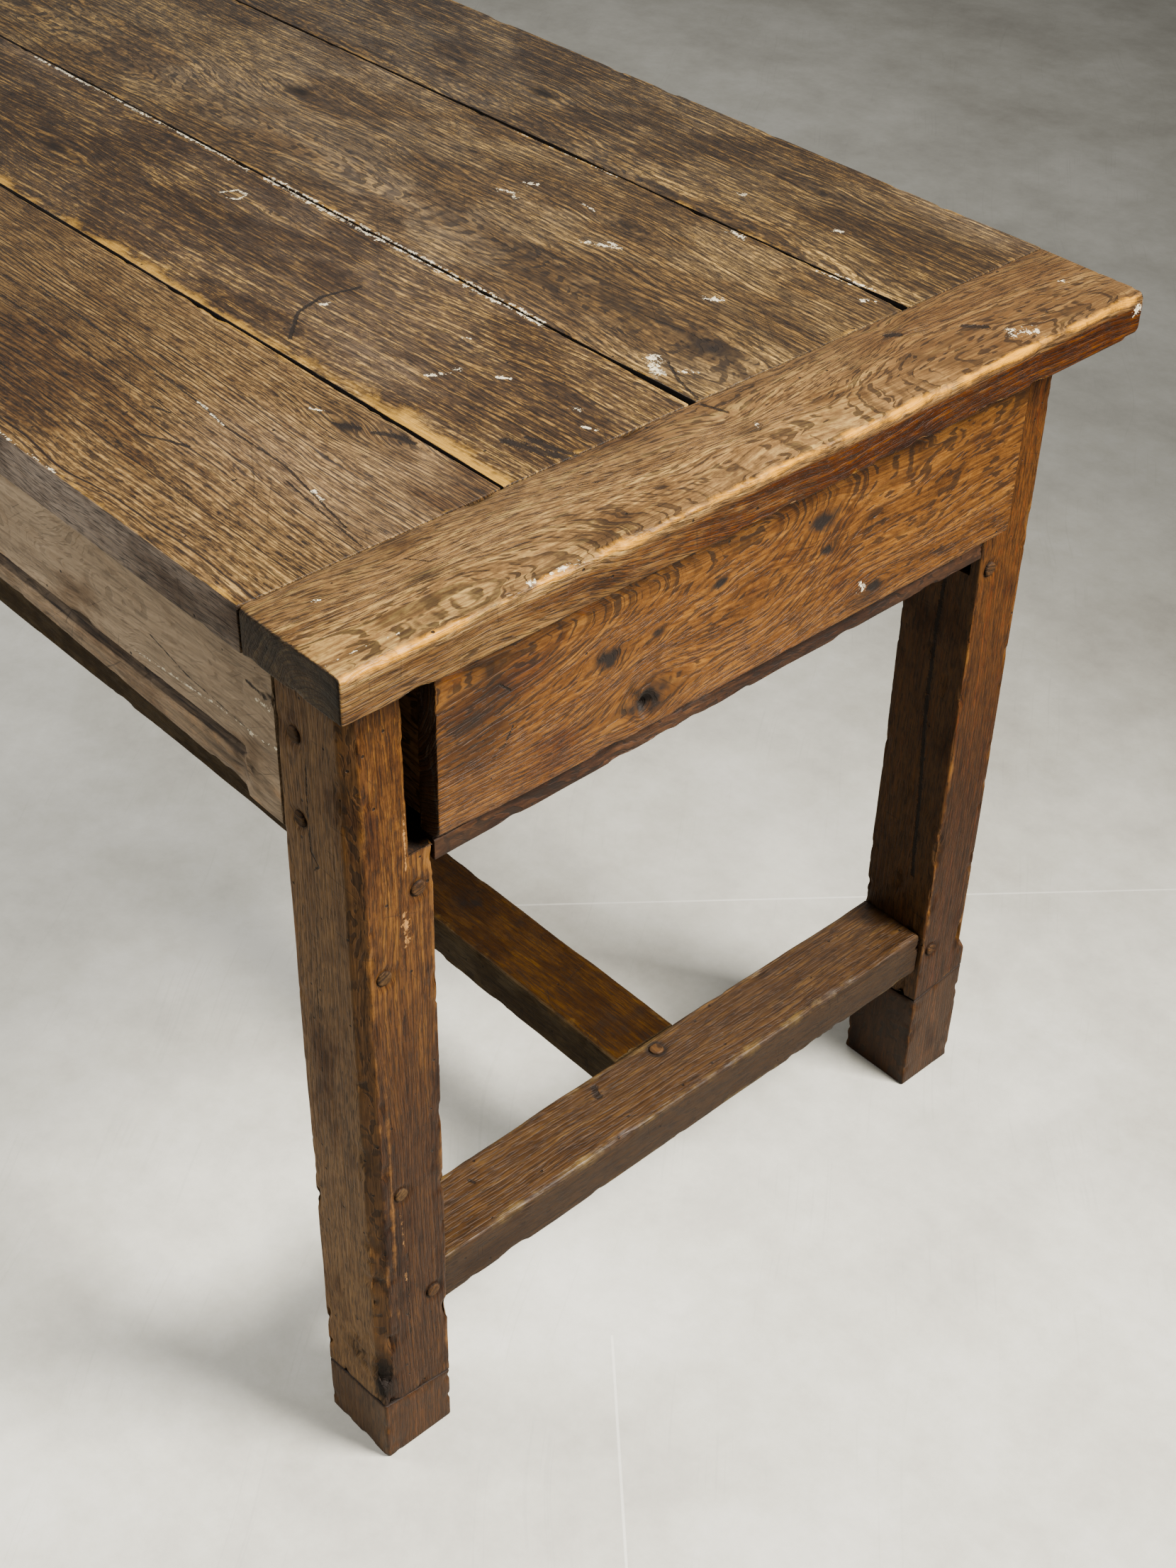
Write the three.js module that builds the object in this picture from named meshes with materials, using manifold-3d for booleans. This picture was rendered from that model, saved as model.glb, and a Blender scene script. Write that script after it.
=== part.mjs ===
// An old oak dining table with a plank top, a drawer in one end and stretchers near the floor.
// Millimetres, +Z up, X along the table with the drawer at +X, origin on the floor under the middle.

import * as THREE from 'three';
import { mergeVertices } from 'three/addons/utils/BufferGeometryUtils.js';
import Module from 'manifold-3d';

const wasm = await Module();
wasm.setup();

// The whole table
const tableLength = 2000;
const tableWidth = 705;
const tableHeight = 760;
const endOverhang = 39;
const sideOverhang = 29;

// Gaps between pieces that rest on or fit into each other
const seatGap = 0.3;
const jointGap = 0.6;
const overrun = 5;

// The plank top
const topThickness = 33;
const nearPlankWidth = 193.5;
const secondPlankWidth = 159;
const farPlankWidth = 148;
const breadboardWidth = 92;
const tongueThickness = 11;
const tongueLength = 26;
const tongueStop = 34;

// Legs, with a chamfer down the outer corner
const legDepth = 69;
const legWidth = 62;
const chamferWidth = 8;
const chamferStop = 4;

// The inside of the two front legs is cut back, above a shoulder, for the drawer front
const notchWidth = 19;
const notchDepth = 34;
const notchShoulderDrop = 1;

// Pieced foot tips, joined on a slant and held by a round spigot
const nearTipHeight = 47;
const rightTipHeight = 96;
const farLeftTipHeight = 58;
const farRightTipHeight = 72;
const tipRiseAcross = 8;
const tipRiseAlong = 8;
const spigotRadius = 11;
const spigotLength = 28;

// Side aprons, with a moulded rebate that stops short of the legs
const apronHeight = 150.7;
const apronThickness = 26;
const apronTenonThickness = 12;
const apronTenonFace = 9;
const apronTenonLength = 45;
const apronTenonHaunch = 7;
const rebateLip = 43;
const rebateStop = 36;
const rebateDepth = 9;
const beadCurveSteps = 3;
const beadTop = 27;
const beadMiddle = 19;
const beadFoot = 6;
const beadSetback = 3.5;
const lowerSetback = 5;

// The apron at the far end
const endTenonLength = 40;

// The thin rail under the drawer, in a mortise made for a taller one
const drawerOpening = 152;
const railThickness = 17;
const railWidth = 66;
const railTenonThickness = 17;
const railTenonFace = 10;
const railTenonLength = 40;
const railTenonShoulder = 3;
const oldMortiseHeight = 35;

// Stretchers
const endStretcherTop = 180;
const endStretcherHeight = 44;
const endStretcherWidth = 65;
const endStretcherSetback = 3;
const endStretcherTenonThickness = 20;
const endStretcherTenonLength = 42;
const longStretcherDrop = 2;
const longStretcherHeight = 41;
const longStretcherWidth = 66;
const longStretcherTenonLength = 32;
const tenonShoulder = 5;
const longTenonShoulder = 9;

// Pegs
const pegRadius = 6.5;
const pegHoleSides = 16;
const pegSides = 12;
const pegProud = 1.5;
const apronPegFromShoulder = 17;
const lowerApronPegRise = 17;
const upperApronPegRise = 81;
const apronPegLength = 32;
const endPegLift = 22;
const railPegFromEdge = 13;
const railPegDrop = 31;
const railPegLength = 46;
const stretcherPegFromEdge = 13;
const stretcherPegLength = 50;
const longPegFromEdge = 13;
const longPegLength = 36;

// Plugs in two old holes of the near front leg, measured from its outer side
const upperPlugBelowRail = 90;
const upperPlugFromSide = 20;
const lowerPlugAboveStretcher = 99;
const lowerPlugFromSide = 25;
const plugLength = 30;

// The drawer
const frontThickness = 20;
const frontProud = 10;
const frontAboveRail = 6;
const frontBelowTop = 3;
const frontNearGap = 15;
const frontFarGap = 5;
const drawerSideGap = 9;
const drawerSideThickness = 13;
const drawerSideBelowTop = 13;
const drawerDepth = 492;
const frontHousingDepth = 8;
const backThickness = 13;
const backHousingDepth = 6;
const backInset = 12;
const backBelowSides = 14;
const bottomThickness = 8;
const bottomAboveSeat = 9;
const bottomGrooveDepth = 6;

// Runners, guides and bearers under the top
const runnerWidth = 31;
const runnerThickness = 18;
const runnerTenonLength = 10;
const runnerTenonShoulder = 4;
const guideGap = 0.8;
const guideHeight = 22;
const bearerThickness = 24;
const bearerTenonLength = 11;
const bearerTenonShoulder = 6;
const bearerStopGap = 0.6;
const topBearerWidth = 46;
const topBearerHeight = 44;
const topBearerToFarEnd = 700;

// Lines worked out from the sizes above
const halfLength = tableLength / 2;
const halfWidth = tableWidth / 2;
const underTop = tableHeight - topThickness;
const frameTop = underTop - seatGap;
const legOuterX = halfLength - endOverhang;
const legOuterY = halfWidth - sideOverhang;
const legInnerX = legOuterX - legDepth;
const legInnerY = legOuterY - legWidth;
const apronInnerY = legOuterY - apronThickness;
const apronBottom = frameTop - apronHeight;
const apronPegHeights = [apronBottom + lowerApronPegRise, apronBottom + upperApronPegRise];
const railTop = underTop - drawerOpening;
const railBottom = railTop - railThickness;
const railPegHeight = railTop - railPegDrop;
const railBackX = legOuterX - railWidth;
const endStretcherBottom = endStretcherTop - endStretcherHeight;
const stretcherOuterX = legOuterX - endStretcherSetback;
const stretcherInnerX = stretcherOuterX - endStretcherWidth;
const stretcherTenonX = legOuterX - legDepth / 2 + endStretcherTenonThickness / 2;
const longStretcherTop = endStretcherTop - longStretcherDrop;
const longStretcherBottom = longStretcherTop - longStretcherHeight;
const drawerSeat = railTop + seatGap;
const frontFaceX = legOuterX + frontProud;
const frontBackX = frontFaceX - frontThickness;
const drawerOuterY = legInnerY - drawerSideGap;
const drawerInnerY = drawerOuterY - drawerSideThickness;
const drawerSideTop = underTop - drawerSideBelowTop;
const drawerBackX = frontBackX - drawerDepth;
const drawerBackBoardX = drawerBackX + backInset;
const bottomUnderside = drawerSeat + bottomAboveSeat;
const bearerFrontX = drawerBackX - bearerStopGap;
const bearerBackX = bearerFrontX - bearerThickness;

// Colours of the old oak
const honeyOak = '#8a6238';
const greyOak = '#7a6a56';
const brownOak = '#6f4f34';
const paleOak = '#a08058';

// A wooden surface of one colour
function wood(colour) {
  return new THREE.MeshStandardMaterial({ color: colour, roughness: 0.62, metalness: 0 });
}

// A closed geometry as a solid that can be joined and cut
function solidOf(geometry) {
  geometry.deleteAttribute('normal');
  geometry.deleteAttribute('uv');
  const merged = mergeVertices(geometry);
  return new wasm.Manifold(new wasm.Mesh({
    numProp: 3,
    vertProperties: new Float32Array(merged.attributes.position.array),
    triVerts: new Uint32Array(merged.index.array),
  }));
}

// A named mesh made from a solid
function pieceOf(name, solid, colour) {
  const made = solid.getMesh();
  const geometry = new THREE.BufferGeometry();
  geometry.setAttribute('position', new THREE.BufferAttribute(new Float32Array(made.vertProperties), 3));
  geometry.setIndex(new THREE.BufferAttribute(new Uint32Array(made.triVerts), 1));
  geometry.computeVertexNormals();
  const mesh = new THREE.Mesh(geometry, wood(colour));
  mesh.name = name;
  return mesh;
}

// A box between two values on each axis, in either order
function box(x0, x1, y0, y1, z0, z1) {
  const geometry = new THREE.BoxGeometry(Math.abs(x1 - x0), Math.abs(y1 - y0), Math.abs(z1 - z0));
  geometry.translate((x0 + x1) / 2, (y0 + y1) / 2, (z0 + z1) / 2);
  return solidOf(geometry);
}

// A box whose bottom and top follow two slanted planes, given as heights over the plan
function slantedBox(x0, x1, y0, y1, bottomAt, topAt) {
  const geometry = new THREE.BoxGeometry(Math.abs(x1 - x0), Math.abs(y1 - y0), 1);
  geometry.translate((x0 + x1) / 2, (y0 + y1) / 2, 0);
  const place = geometry.attributes.position;
  for (let i = 0; i < place.count; i += 1) {
    const heightAt = place.getZ(i) > 0 ? topAt : bottomAt;
    place.setZ(i, heightAt(place.getX(i), place.getY(i)));
  }
  return solidOf(geometry);
}

// A rod along one axis that starts at a point and runs to a signed length
function rod(axis, radius, sides, x, y, z, length) {
  const geometry = new THREE.CylinderGeometry(radius, radius, Math.abs(length), sides);
  geometry.translate(0, length / 2, 0);
  if (axis === 'x') {
    geometry.rotateZ(-Math.PI / 2);
  }
  if (axis === 'z') {
    geometry.rotateX(Math.PI / 2);
  }
  geometry.translate(x, y, z);
  return solidOf(geometry);
}

// The radius of a faceted hole that clears a round rod by the seat gap
function holeRadius(radius) {
  return (radius + seatGap) / Math.cos(Math.PI / pegHoleSides);
}

// The hole for a peg, from outside the face to just past the peg's end
function pegHole(axis, x, y, z, length) {
  const inward = Math.sign(length);
  const start = { x, y, z };
  start[axis] -= inward * overrun;
  const reach = length + inward * (overrun + jointGap);
  return rod(axis, holeRadius(pegRadius), pegHoleSides, start.x, start.y, start.z, reach);
}

// One peg as a mesh, standing a little proud of the face that it was driven into
function peg(name, axis, x, y, z, length) {
  const inward = Math.sign(length);
  const start = { x: 0, y: 0, z: 0 };
  start[axis] = -inward * pegProud;
  const reach = length + inward * pegProud;
  const mesh = pieceOf(name, rod(axis, pegRadius, pegSides, start.x, start.y, start.z, reach), paleOak);
  mesh.position.set(x, y, z);
  return mesh;
}

// How far the slanted foot joint rises towards the leg's outer corner
function tipRise(u, v) {
  return tipRiseAlong * (1 - u / legDepth) + tipRiseAcross * (1 - v / legWidth);
}

// A leg, measured inwards from its outer faces: u along the table, v across it
function legPiece(name, corner, isFront) {
  const { endSign, sideSign, tipHeight, plugs } = corner;
  const x = (u) => -endSign * u;
  const y = (v) => -sideSign * v;
  const jointAt = (px, py) => tipHeight + tipRise(Math.abs(px), Math.abs(py)) + seatGap;
  let leg = slantedBox(x(0), x(legDepth), y(0), y(legWidth), jointAt, () => frameTop);

  const chamfer = new THREE.Shape();
  chamfer.moveTo(x(-overrun), y(-overrun));
  chamfer.lineTo(x(chamferWidth), y(-overrun));
  chamfer.lineTo(x(chamferWidth), y(0));
  chamfer.lineTo(x(0), y(chamferWidth));
  chamfer.lineTo(x(-overrun), y(chamferWidth));
  chamfer.closePath();
  const chamferBottom = tipHeight + tipRise(0, 0) + chamferStop;
  const chamferCut = new THREE.ExtrudeGeometry(chamfer, { depth: tableHeight, bevelEnabled: false });
  chamferCut.translate(0, 0, chamferBottom);
  leg = leg.subtract(solidOf(chamferCut));

  if (isFront) {
    const shoulder = railTop - notchShoulderDrop;
    leg = leg.subtract(box(
      x(-overrun), x(notchDepth), y(legWidth - notchWidth), y(legWidth + overrun), shoulder, tableHeight));
    leg = leg.subtract(box(
      x(railTenonFace - seatGap), x(railTenonFace + railTenonThickness + seatGap),
      y(legWidth - railTenonLength - jointGap), y(legWidth + overrun),
      railTop - oldMortiseHeight, railTop - railTenonShoulder + seatGap));
    leg = leg.subtract(pegHole('x', 0, y(legWidth - railPegFromEdge), railPegHeight, x(railPegLength)));
  } else {
    leg = leg.subtract(box(
      x(apronTenonFace - seatGap), x(apronTenonFace + apronTenonThickness + seatGap),
      y(legWidth - endTenonLength - jointGap), y(legWidth + overrun),
      apronBottom + apronTenonHaunch - seatGap, frameTop - apronTenonHaunch + seatGap));
    for (const height of apronPegHeights) {
      leg = leg.subtract(
        pegHole('x', 0, y(legWidth - apronPegFromShoulder), height + endPegLift, x(apronPegLength)));
    }
  }

  leg = leg.subtract(box(
    x(legDepth - apronTenonLength - jointGap), x(legDepth + overrun),
    y(apronTenonFace - seatGap), y(apronTenonFace + apronTenonThickness + seatGap),
    apronBottom + apronTenonHaunch - seatGap, frameTop - apronTenonHaunch + seatGap));
  for (const height of apronPegHeights) {
    leg = leg.subtract(pegHole('y', x(legDepth - apronPegFromShoulder), 0, height, y(apronPegLength)));
  }

  const tenonMiddle = legDepth / 2;
  const halfTenon = endStretcherTenonThickness / 2;
  leg = leg.subtract(box(
    x(tenonMiddle - halfTenon - seatGap), x(tenonMiddle + halfTenon + seatGap),
    y(legWidth - endStretcherTenonLength - jointGap), y(legWidth + overrun),
    endStretcherBottom + tenonShoulder - seatGap, endStretcherTop - tenonShoulder + seatGap));
  leg = leg.subtract(pegHole(
    'x', 0, y(legWidth - stretcherPegFromEdge), endStretcherTop - endStretcherHeight / 2,
    x(stretcherPegLength)));

  for (const plug of plugs) {
    leg = leg.subtract(pegHole('x', 0, y(plug.fromSide), plug.height, x(plugLength)));
  }

  leg = leg.subtract(rod(
    'z', holeRadius(spigotRadius), pegHoleSides, x(legDepth / 2), y(legWidth / 2), 0,
    tipHeight + tipRise(legDepth / 2, legWidth / 2) + spigotLength + jointGap));

  const mesh = pieceOf(name, leg, brownOak);
  mesh.position.set(endSign * legOuterX, sideSign * legOuterY, 0);
  return mesh;
}

// A pieced foot tip with the spigot that goes up into the leg
function tipPiece(name, endSign, sideSign, tipHeight) {
  const x = (u) => -endSign * u;
  const y = (v) => -sideSign * v;
  const topAt = (px, py) => tipHeight + tipRise(Math.abs(px), Math.abs(py));
  const block = slantedBox(x(0), x(legDepth), y(0), y(legWidth), () => 0, topAt);
  const spigotTop = tipHeight + tipRise(legDepth / 2, legWidth / 2) + spigotLength;
  const spigot = rod('z', spigotRadius, pegHoleSides, x(legDepth / 2), y(legWidth / 2), tipHeight / 2,
    spigotTop - tipHeight / 2);
  const mesh = pieceOf(name, block.add(spigot), brownOak);
  mesh.position.set(endSign * legOuterX, sideSign * legOuterY, 0);
  return mesh;
}

// The outline of what the moulded rebate takes away: depth into the apron against height
function rebateShape(sideSign) {
  const y = (depth) => -sideSign * depth;
  const shape = new THREE.Shape();
  shape.moveTo(y(-overrun), -overrun);
  shape.lineTo(y(lowerSetback), -overrun);
  shape.lineTo(y(lowerSetback), beadFoot);
  shape.quadraticCurveTo(y(beadSetback), beadFoot, y(beadSetback), beadMiddle);
  shape.quadraticCurveTo(y(beadSetback), beadTop, y(rebateDepth), beadTop);
  shape.lineTo(y(rebateDepth), rebateLip);
  shape.lineTo(y(-overrun), rebateLip);
  shape.closePath();
  return shape;
}

// The tenons of the two bearers, which enter both side aprons
const drawerBearerTenon = {
  x: (bearerFrontX + bearerBackX) / 2,
  half: bearerThickness / 2 - bearerTenonShoulder,
  bottom: apronBottom + rebateLip,
  top: frameTop - apronTenonHaunch,
};
const topBearerTenon = {
  x: -halfLength + topBearerToFarEnd,
  half: topBearerWidth / 2 - bearerTenonShoulder,
  bottom: frameTop - topBearerHeight + bearerTenonShoulder,
  top: frameTop - bearerTenonShoulder,
};

// A side apron with a tenon at each end, measured from its outer face and bottom edge
function sideApronPiece(name, sideSign) {
  const y = (depth) => -sideSign * depth;
  const half = legInnerX - seatGap;
  const tenonHalf = legInnerX + apronTenonLength;
  let apron = box(-half, half, y(0), y(apronThickness), 0, apronHeight);
  apron = apron.add(box(
    -tenonHalf, tenonHalf, y(apronTenonFace), y(apronTenonFace + apronTenonThickness),
    apronTenonHaunch, apronHeight - apronTenonHaunch));

  const rebateLength = 2 * (half - rebateStop);
  const rebate = new THREE.ExtrudeGeometry(
    rebateShape(sideSign), { depth: rebateLength, bevelEnabled: false, curveSegments: beadCurveSteps });
  rebate.rotateX(Math.PI / 2);
  rebate.rotateZ(Math.PI / 2);
  rebate.translate(-rebateLength / 2, 0, 0);
  apron = apron.subtract(solidOf(rebate));

  for (const endSign of [1, -1]) {
    for (const height of apronPegHeights) {
      apron = apron.subtract(pegHole(
        'y', endSign * (legInnerX + apronPegFromShoulder), 0, height - apronBottom, y(apronPegLength)));
    }
  }
  for (const tenon of [drawerBearerTenon, topBearerTenon]) {
    apron = apron.subtract(box(
      tenon.x - tenon.half - seatGap, tenon.x + tenon.half + seatGap,
      y(apronThickness - bearerTenonLength - jointGap), y(apronThickness + overrun),
      tenon.bottom - apronBottom - seatGap, tenon.top - apronBottom + seatGap));
  }
  const mesh = pieceOf(name, apron, greyOak);
  mesh.position.set(0, sideSign * legOuterY, apronBottom);
  return mesh;
}

// The plain apron between the far legs, measured inwards from the legs' outer faces
function farApronPiece() {
  const half = legInnerY - seatGap;
  const tenonHalf = legInnerY + endTenonLength;
  let apron = box(0, apronThickness, -half, half, 0, apronHeight);
  apron = apron.add(box(
    apronTenonFace, apronTenonFace + apronTenonThickness, -tenonHalf, tenonHalf,
    apronTenonHaunch, apronHeight - apronTenonHaunch));
  for (const sideSign of [1, -1]) {
    for (const height of apronPegHeights) {
      apron = apron.subtract(pegHole(
        'x', 0, sideSign * (legInnerY + apronPegFromShoulder), height + endPegLift - apronBottom,
        apronPegLength));
    }
  }
  const mesh = pieceOf('far_end_apron', apron, greyOak);
  mesh.position.set(-legOuterX, 0, apronBottom);
  return mesh;
}

// The thin rail under the drawer, measured from the legs' outer faces and the rail's underside
function drawerRailPiece() {
  const half = legInnerY - seatGap;
  const tenonHalf = legInnerY + railTenonLength;
  let rail = box(-railWidth, 0, -half, half, 0, railThickness);
  rail = rail.add(box(
    -railTenonFace - railTenonThickness, -railTenonFace, -tenonHalf, tenonHalf,
    0, railThickness - railTenonShoulder));
  for (const sideSign of [1, -1]) {
    rail = rail.subtract(runnerTenon(-railWidth + runnerTenonLength + jointGap, -railWidth - overrun,
      sideSign, -railBottom, seatGap));
  }
  const mesh = pieceOf('drawer_rail', rail, brownOak);
  mesh.position.set(legOuterX, 0, railBottom);
  return mesh;
}

// The block of a runner's stub tenon, or of its mortise when grown by a clearance
function runnerTenon(x0, x1, sideSign, lift, clearance) {
  const y0 = drawerOuterY + guideGap - seatGap - runnerWidth + runnerTenonShoulder - clearance;
  const y1 = drawerOuterY + guideGap - seatGap - runnerTenonShoulder + clearance;
  const z0 = railTop - runnerThickness + runnerTenonShoulder - clearance;
  const z1 = railTop - runnerTenonShoulder + clearance;
  return box(x0, x1, sideSign * y0, sideSign * y1, z0 + lift, z1 + lift);
}

// An end stretcher, measured from its outer face towards the table's middle
function endStretcherPiece(name, endSign) {
  const x = (u) => -endSign * u;
  const half = legInnerY - seatGap;
  const tenonHalf = legInnerY + endStretcherTenonLength;
  const tenonStart = stretcherOuterX - stretcherTenonX;
  let stretcher = box(x(0), x(endStretcherWidth), -half, half, 0, endStretcherHeight);
  stretcher = stretcher.add(box(
    x(tenonStart), x(tenonStart + endStretcherTenonThickness), -tenonHalf, tenonHalf,
    tenonShoulder, endStretcherHeight - tenonShoulder));
  for (const sideSign of [1, -1]) {
    stretcher = stretcher.subtract(pegHole(
      'x', endSign * endStretcherSetback, sideSign * (legInnerY + stretcherPegFromEdge),
      endStretcherHeight / 2, x(stretcherPegLength)));
  }
  const longTop = endStretcherHeight - longStretcherDrop;
  const halfWide = longStretcherWidth / 2 - longTenonShoulder + seatGap;
  stretcher = stretcher.subtract(box(
    x(endStretcherWidth - longStretcherTenonLength - jointGap), x(endStretcherWidth + overrun),
    -halfWide, halfWide,
    longTop - longStretcherHeight + longTenonShoulder - seatGap, longTop - longTenonShoulder + seatGap));
  stretcher = stretcher.subtract(pegHole(
    'z', x(endStretcherWidth - longPegFromEdge), 0, endStretcherHeight, -longPegLength));
  const mesh = pieceOf(name, stretcher, greyOak);
  mesh.position.set(endSign * stretcherOuterX, 0, endStretcherBottom);
  return mesh;
}

// The long stretcher down the middle, measured from its underside
function longStretcherPiece() {
  const half = stretcherInnerX - seatGap;
  const tenonHalf = stretcherInnerX + longStretcherTenonLength;
  const wide = longStretcherWidth / 2;
  let stretcher = box(-half, half, -wide, wide, 0, longStretcherHeight);
  stretcher = stretcher.add(box(
    -tenonHalf, tenonHalf, -wide + longTenonShoulder, wide - longTenonShoulder,
    longTenonShoulder, longStretcherHeight - longTenonShoulder));
  for (const endSign of [1, -1]) {
    stretcher = stretcher.subtract(pegHole(
      'z', endSign * (stretcherInnerX + longPegFromEdge), 0, longStretcherHeight + longStretcherDrop,
      -longPegLength));
  }
  const mesh = pieceOf('long_stretcher', stretcher, greyOak);
  mesh.position.set(0, 0, longStretcherBottom);
  return mesh;
}

// A long plank with a tongue on both ends, measured from the top's underside
function plankPiece(name, y0, y1) {
  const half = halfLength - breadboardWidth - seatGap;
  const grooveEnd = halfWidth - tongueStop;
  const low = y0 + jointGap / 2;
  const high = y1 - jointGap / 2;
  let plank = box(-half, half, low, high, 0, topThickness);
  plank = plank.add(box(
    -half - tongueLength, half + tongueLength,
    Math.max(low, -grooveEnd + seatGap), Math.min(high, grooveEnd - seatGap),
    (topThickness - tongueThickness) / 2, (topThickness + tongueThickness) / 2));
  return pieceOf(name, plank, honeyOak);
}

// A board across the planks' ends, with a stopped groove for their tongues
function breadboardPiece(name, endSign) {
  const x = (u) => -endSign * u;
  const grooveEnd = halfWidth - tongueStop;
  const grooveDepth = tongueLength + jointGap;
  let board = box(x(0), x(breadboardWidth), -halfWidth, halfWidth, 0, topThickness);
  board = board.subtract(box(
    x(breadboardWidth - grooveDepth), x(breadboardWidth + overrun), -grooveEnd, grooveEnd,
    (topThickness - tongueThickness) / 2 - seatGap, (topThickness + tongueThickness) / 2 + seatGap));
  const mesh = pieceOf(name, board, honeyOak);
  mesh.position.set(endSign * halfLength, 0, 0);
  return mesh;
}

// A runner under one side of the drawer, from the rail to the bearer
function runnerPiece(name, sideSign) {
  const y1 = drawerOuterY + guideGap - seatGap;
  const frontX = railBackX - seatGap;
  const backX = bearerFrontX + seatGap;
  let runner = box(
    backX, frontX, sideSign * y1, sideSign * (y1 - runnerWidth), railTop - runnerThickness, railTop);
  runner = runner.add(runnerTenon(
    backX - runnerTenonLength, frontX + runnerTenonLength, sideSign, 0, 0));
  return pieceOf(name, runner, brownOak);
}

// A guide beside the drawer, against the side apron and the back of the leg
function guidePiece(name, sideSign) {
  const guide = box(
    bearerFrontX + seatGap, legInnerX - seatGap,
    sideSign * (drawerOuterY + guideGap), sideSign * (apronInnerY - seatGap),
    railTop + seatGap, railTop + guideHeight);
  return pieceOf(name, guide, brownOak);
}

// The bearer behind the drawer, which holds the runners' back ends and carries the planks
function drawerBearerPiece() {
  const tenon = drawerBearerTenon;
  const half = apronInnerY - seatGap;
  let bearer = box(
    bearerBackX, bearerFrontX, -half, half, railTop - runnerThickness, frameTop);
  bearer = bearer.add(box(
    tenon.x - tenon.half, tenon.x + tenon.half, -half - bearerTenonLength, half + bearerTenonLength,
    tenon.bottom, tenon.top));
  for (const sideSign of [1, -1]) {
    bearer = bearer.subtract(runnerTenon(
      bearerFrontX - runnerTenonLength - jointGap, bearerFrontX + overrun, sideSign, 0, seatGap));
  }
  return pieceOf('drawer_bearer', bearer, brownOak);
}

// The bearer that carries the planks nearer the far end
function topBearerPiece() {
  const tenon = topBearerTenon;
  const half = apronInnerY - seatGap;
  const wide = topBearerWidth / 2;
  let bearer = box(
    tenon.x - wide, tenon.x + wide, -half, half, frameTop - topBearerHeight, frameTop);
  bearer = bearer.add(box(
    tenon.x - tenon.half, tenon.x + tenon.half, -half - bearerTenonLength, half + bearerTenonLength,
    tenon.bottom, tenon.top));
  return pieceOf('top_bearer', bearer, brownOak);
}

// The drawer's front board, housed for the two sides and grooved for the bottom
function drawerFrontPiece() {
  const low = -legInnerY - notchWidth + frontNearGap;
  const high = legInnerY + notchWidth - frontFarGap;
  const bottom = railTop + frontAboveRail;
  let front = box(frontBackX, frontFaceX, low, high, bottom, underTop - frontBelowTop);
  for (const sideSign of [1, -1]) {
    front = front.subtract(box(
      frontBackX - overrun, frontBackX + frontHousingDepth + seatGap,
      sideSign * (drawerOuterY + seatGap), sideSign * (drawerInnerY - seatGap),
      bottom - overrun, drawerSideTop + seatGap));
  }
  front = front.subtract(bottomSpace(bottomGrooveDepth + seatGap));
  return pieceOf('drawer_front', front, honeyOak);
}

// The space that the drawer's bottom fills, grown by the clearance of its grooves
function bottomSpace(frontReach) {
  return box(
    drawerBackX - overrun, frontBackX + frontReach,
    -drawerInnerY - bottomGrooveDepth - seatGap, drawerInnerY + bottomGrooveDepth + seatGap,
    bottomUnderside - seatGap, bottomUnderside + bottomThickness + seatGap);
}

// A drawer side, housed in the front and grooved for the bottom and the back
function drawerSidePiece(name, sideSign) {
  const innerY = sideSign * drawerInnerY;
  let side = box(
    drawerBackX, frontBackX + frontHousingDepth, sideSign * drawerOuterY, innerY, drawerSeat, drawerSideTop);
  side = side.subtract(bottomSpace(frontHousingDepth + overrun));
  side = side.subtract(box(
    drawerBackBoardX - seatGap, drawerBackBoardX + backThickness + seatGap,
    innerY + sideSign * (backHousingDepth + seatGap), innerY - sideSign * overrun,
    bottomUnderside + bottomThickness - seatGap, drawerSideTop + overrun));
  return pieceOf(name, side, paleOak);
}

// The drawer's back board, which stands on the bottom and slides down between the sides
function drawerBackPiece() {
  const half = drawerInnerY + backHousingDepth;
  const back = box(
    drawerBackBoardX, drawerBackBoardX + backThickness, -half, half,
    bottomUnderside + bottomThickness + seatGap, drawerSideTop - backBelowSides);
  return pieceOf('drawer_back', back, paleOak);
}

// One of the two boards of the drawer's bottom
function drawerBottomPiece(name, sideSign) {
  const outer = drawerInnerY + bottomGrooveDepth;
  const bottom = box(
    drawerBackX, frontBackX + bottomGrooveDepth, sideSign * jointGap / 2, sideSign * outer,
    bottomUnderside, bottomUnderside + bottomThickness);
  return pieceOf(name, bottom, paleOak);
}

// The plank top with its breadboard ends
function plankTop() {
  const top = new THREE.Group();
  top.position.z = underTop;
  const jointOne = -halfWidth + nearPlankWidth;
  const jointTwo = jointOne + secondPlankWidth;
  const jointThree = halfWidth - farPlankWidth;
  const open = jointGap / 2;
  top.add(plankPiece('top_plank_near', -halfWidth - open, jointOne));
  top.add(plankPiece('top_plank_second', jointOne, jointTwo));
  top.add(plankPiece('top_plank_third', jointTwo, jointThree));
  top.add(plankPiece('top_plank_far', jointThree, halfWidth + open));
  top.add(breadboardPiece('breadboard_drawer_end', 1));
  top.add(breadboardPiece('breadboard_far_end', -1));
  return top;
}

// The two plugged holes
const nearPlugs = [
  { level: 'upper', height: railTop - upperPlugBelowRail, fromSide: upperPlugFromSide },
  { level: 'lower', height: endStretcherTop + lowerPlugAboveStretcher, fromSide: lowerPlugFromSide },
];

// Each corner of the frame: the leg, its foot tip, its plugs and the pegs of its joints
const corners = [
  { name: 'front_left', endSign: 1, sideSign: -1, tipHeight: nearTipHeight, plugs: nearPlugs },
  { name: 'front_right', endSign: 1, sideSign: 1, tipHeight: rightTipHeight, plugs: [] },
  { name: 'back_left', endSign: -1, sideSign: -1, tipHeight: farLeftTipHeight, plugs: [] },
  { name: 'back_right', endSign: -1, sideSign: 1, tipHeight: farRightTipHeight, plugs: [] },
];

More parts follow.
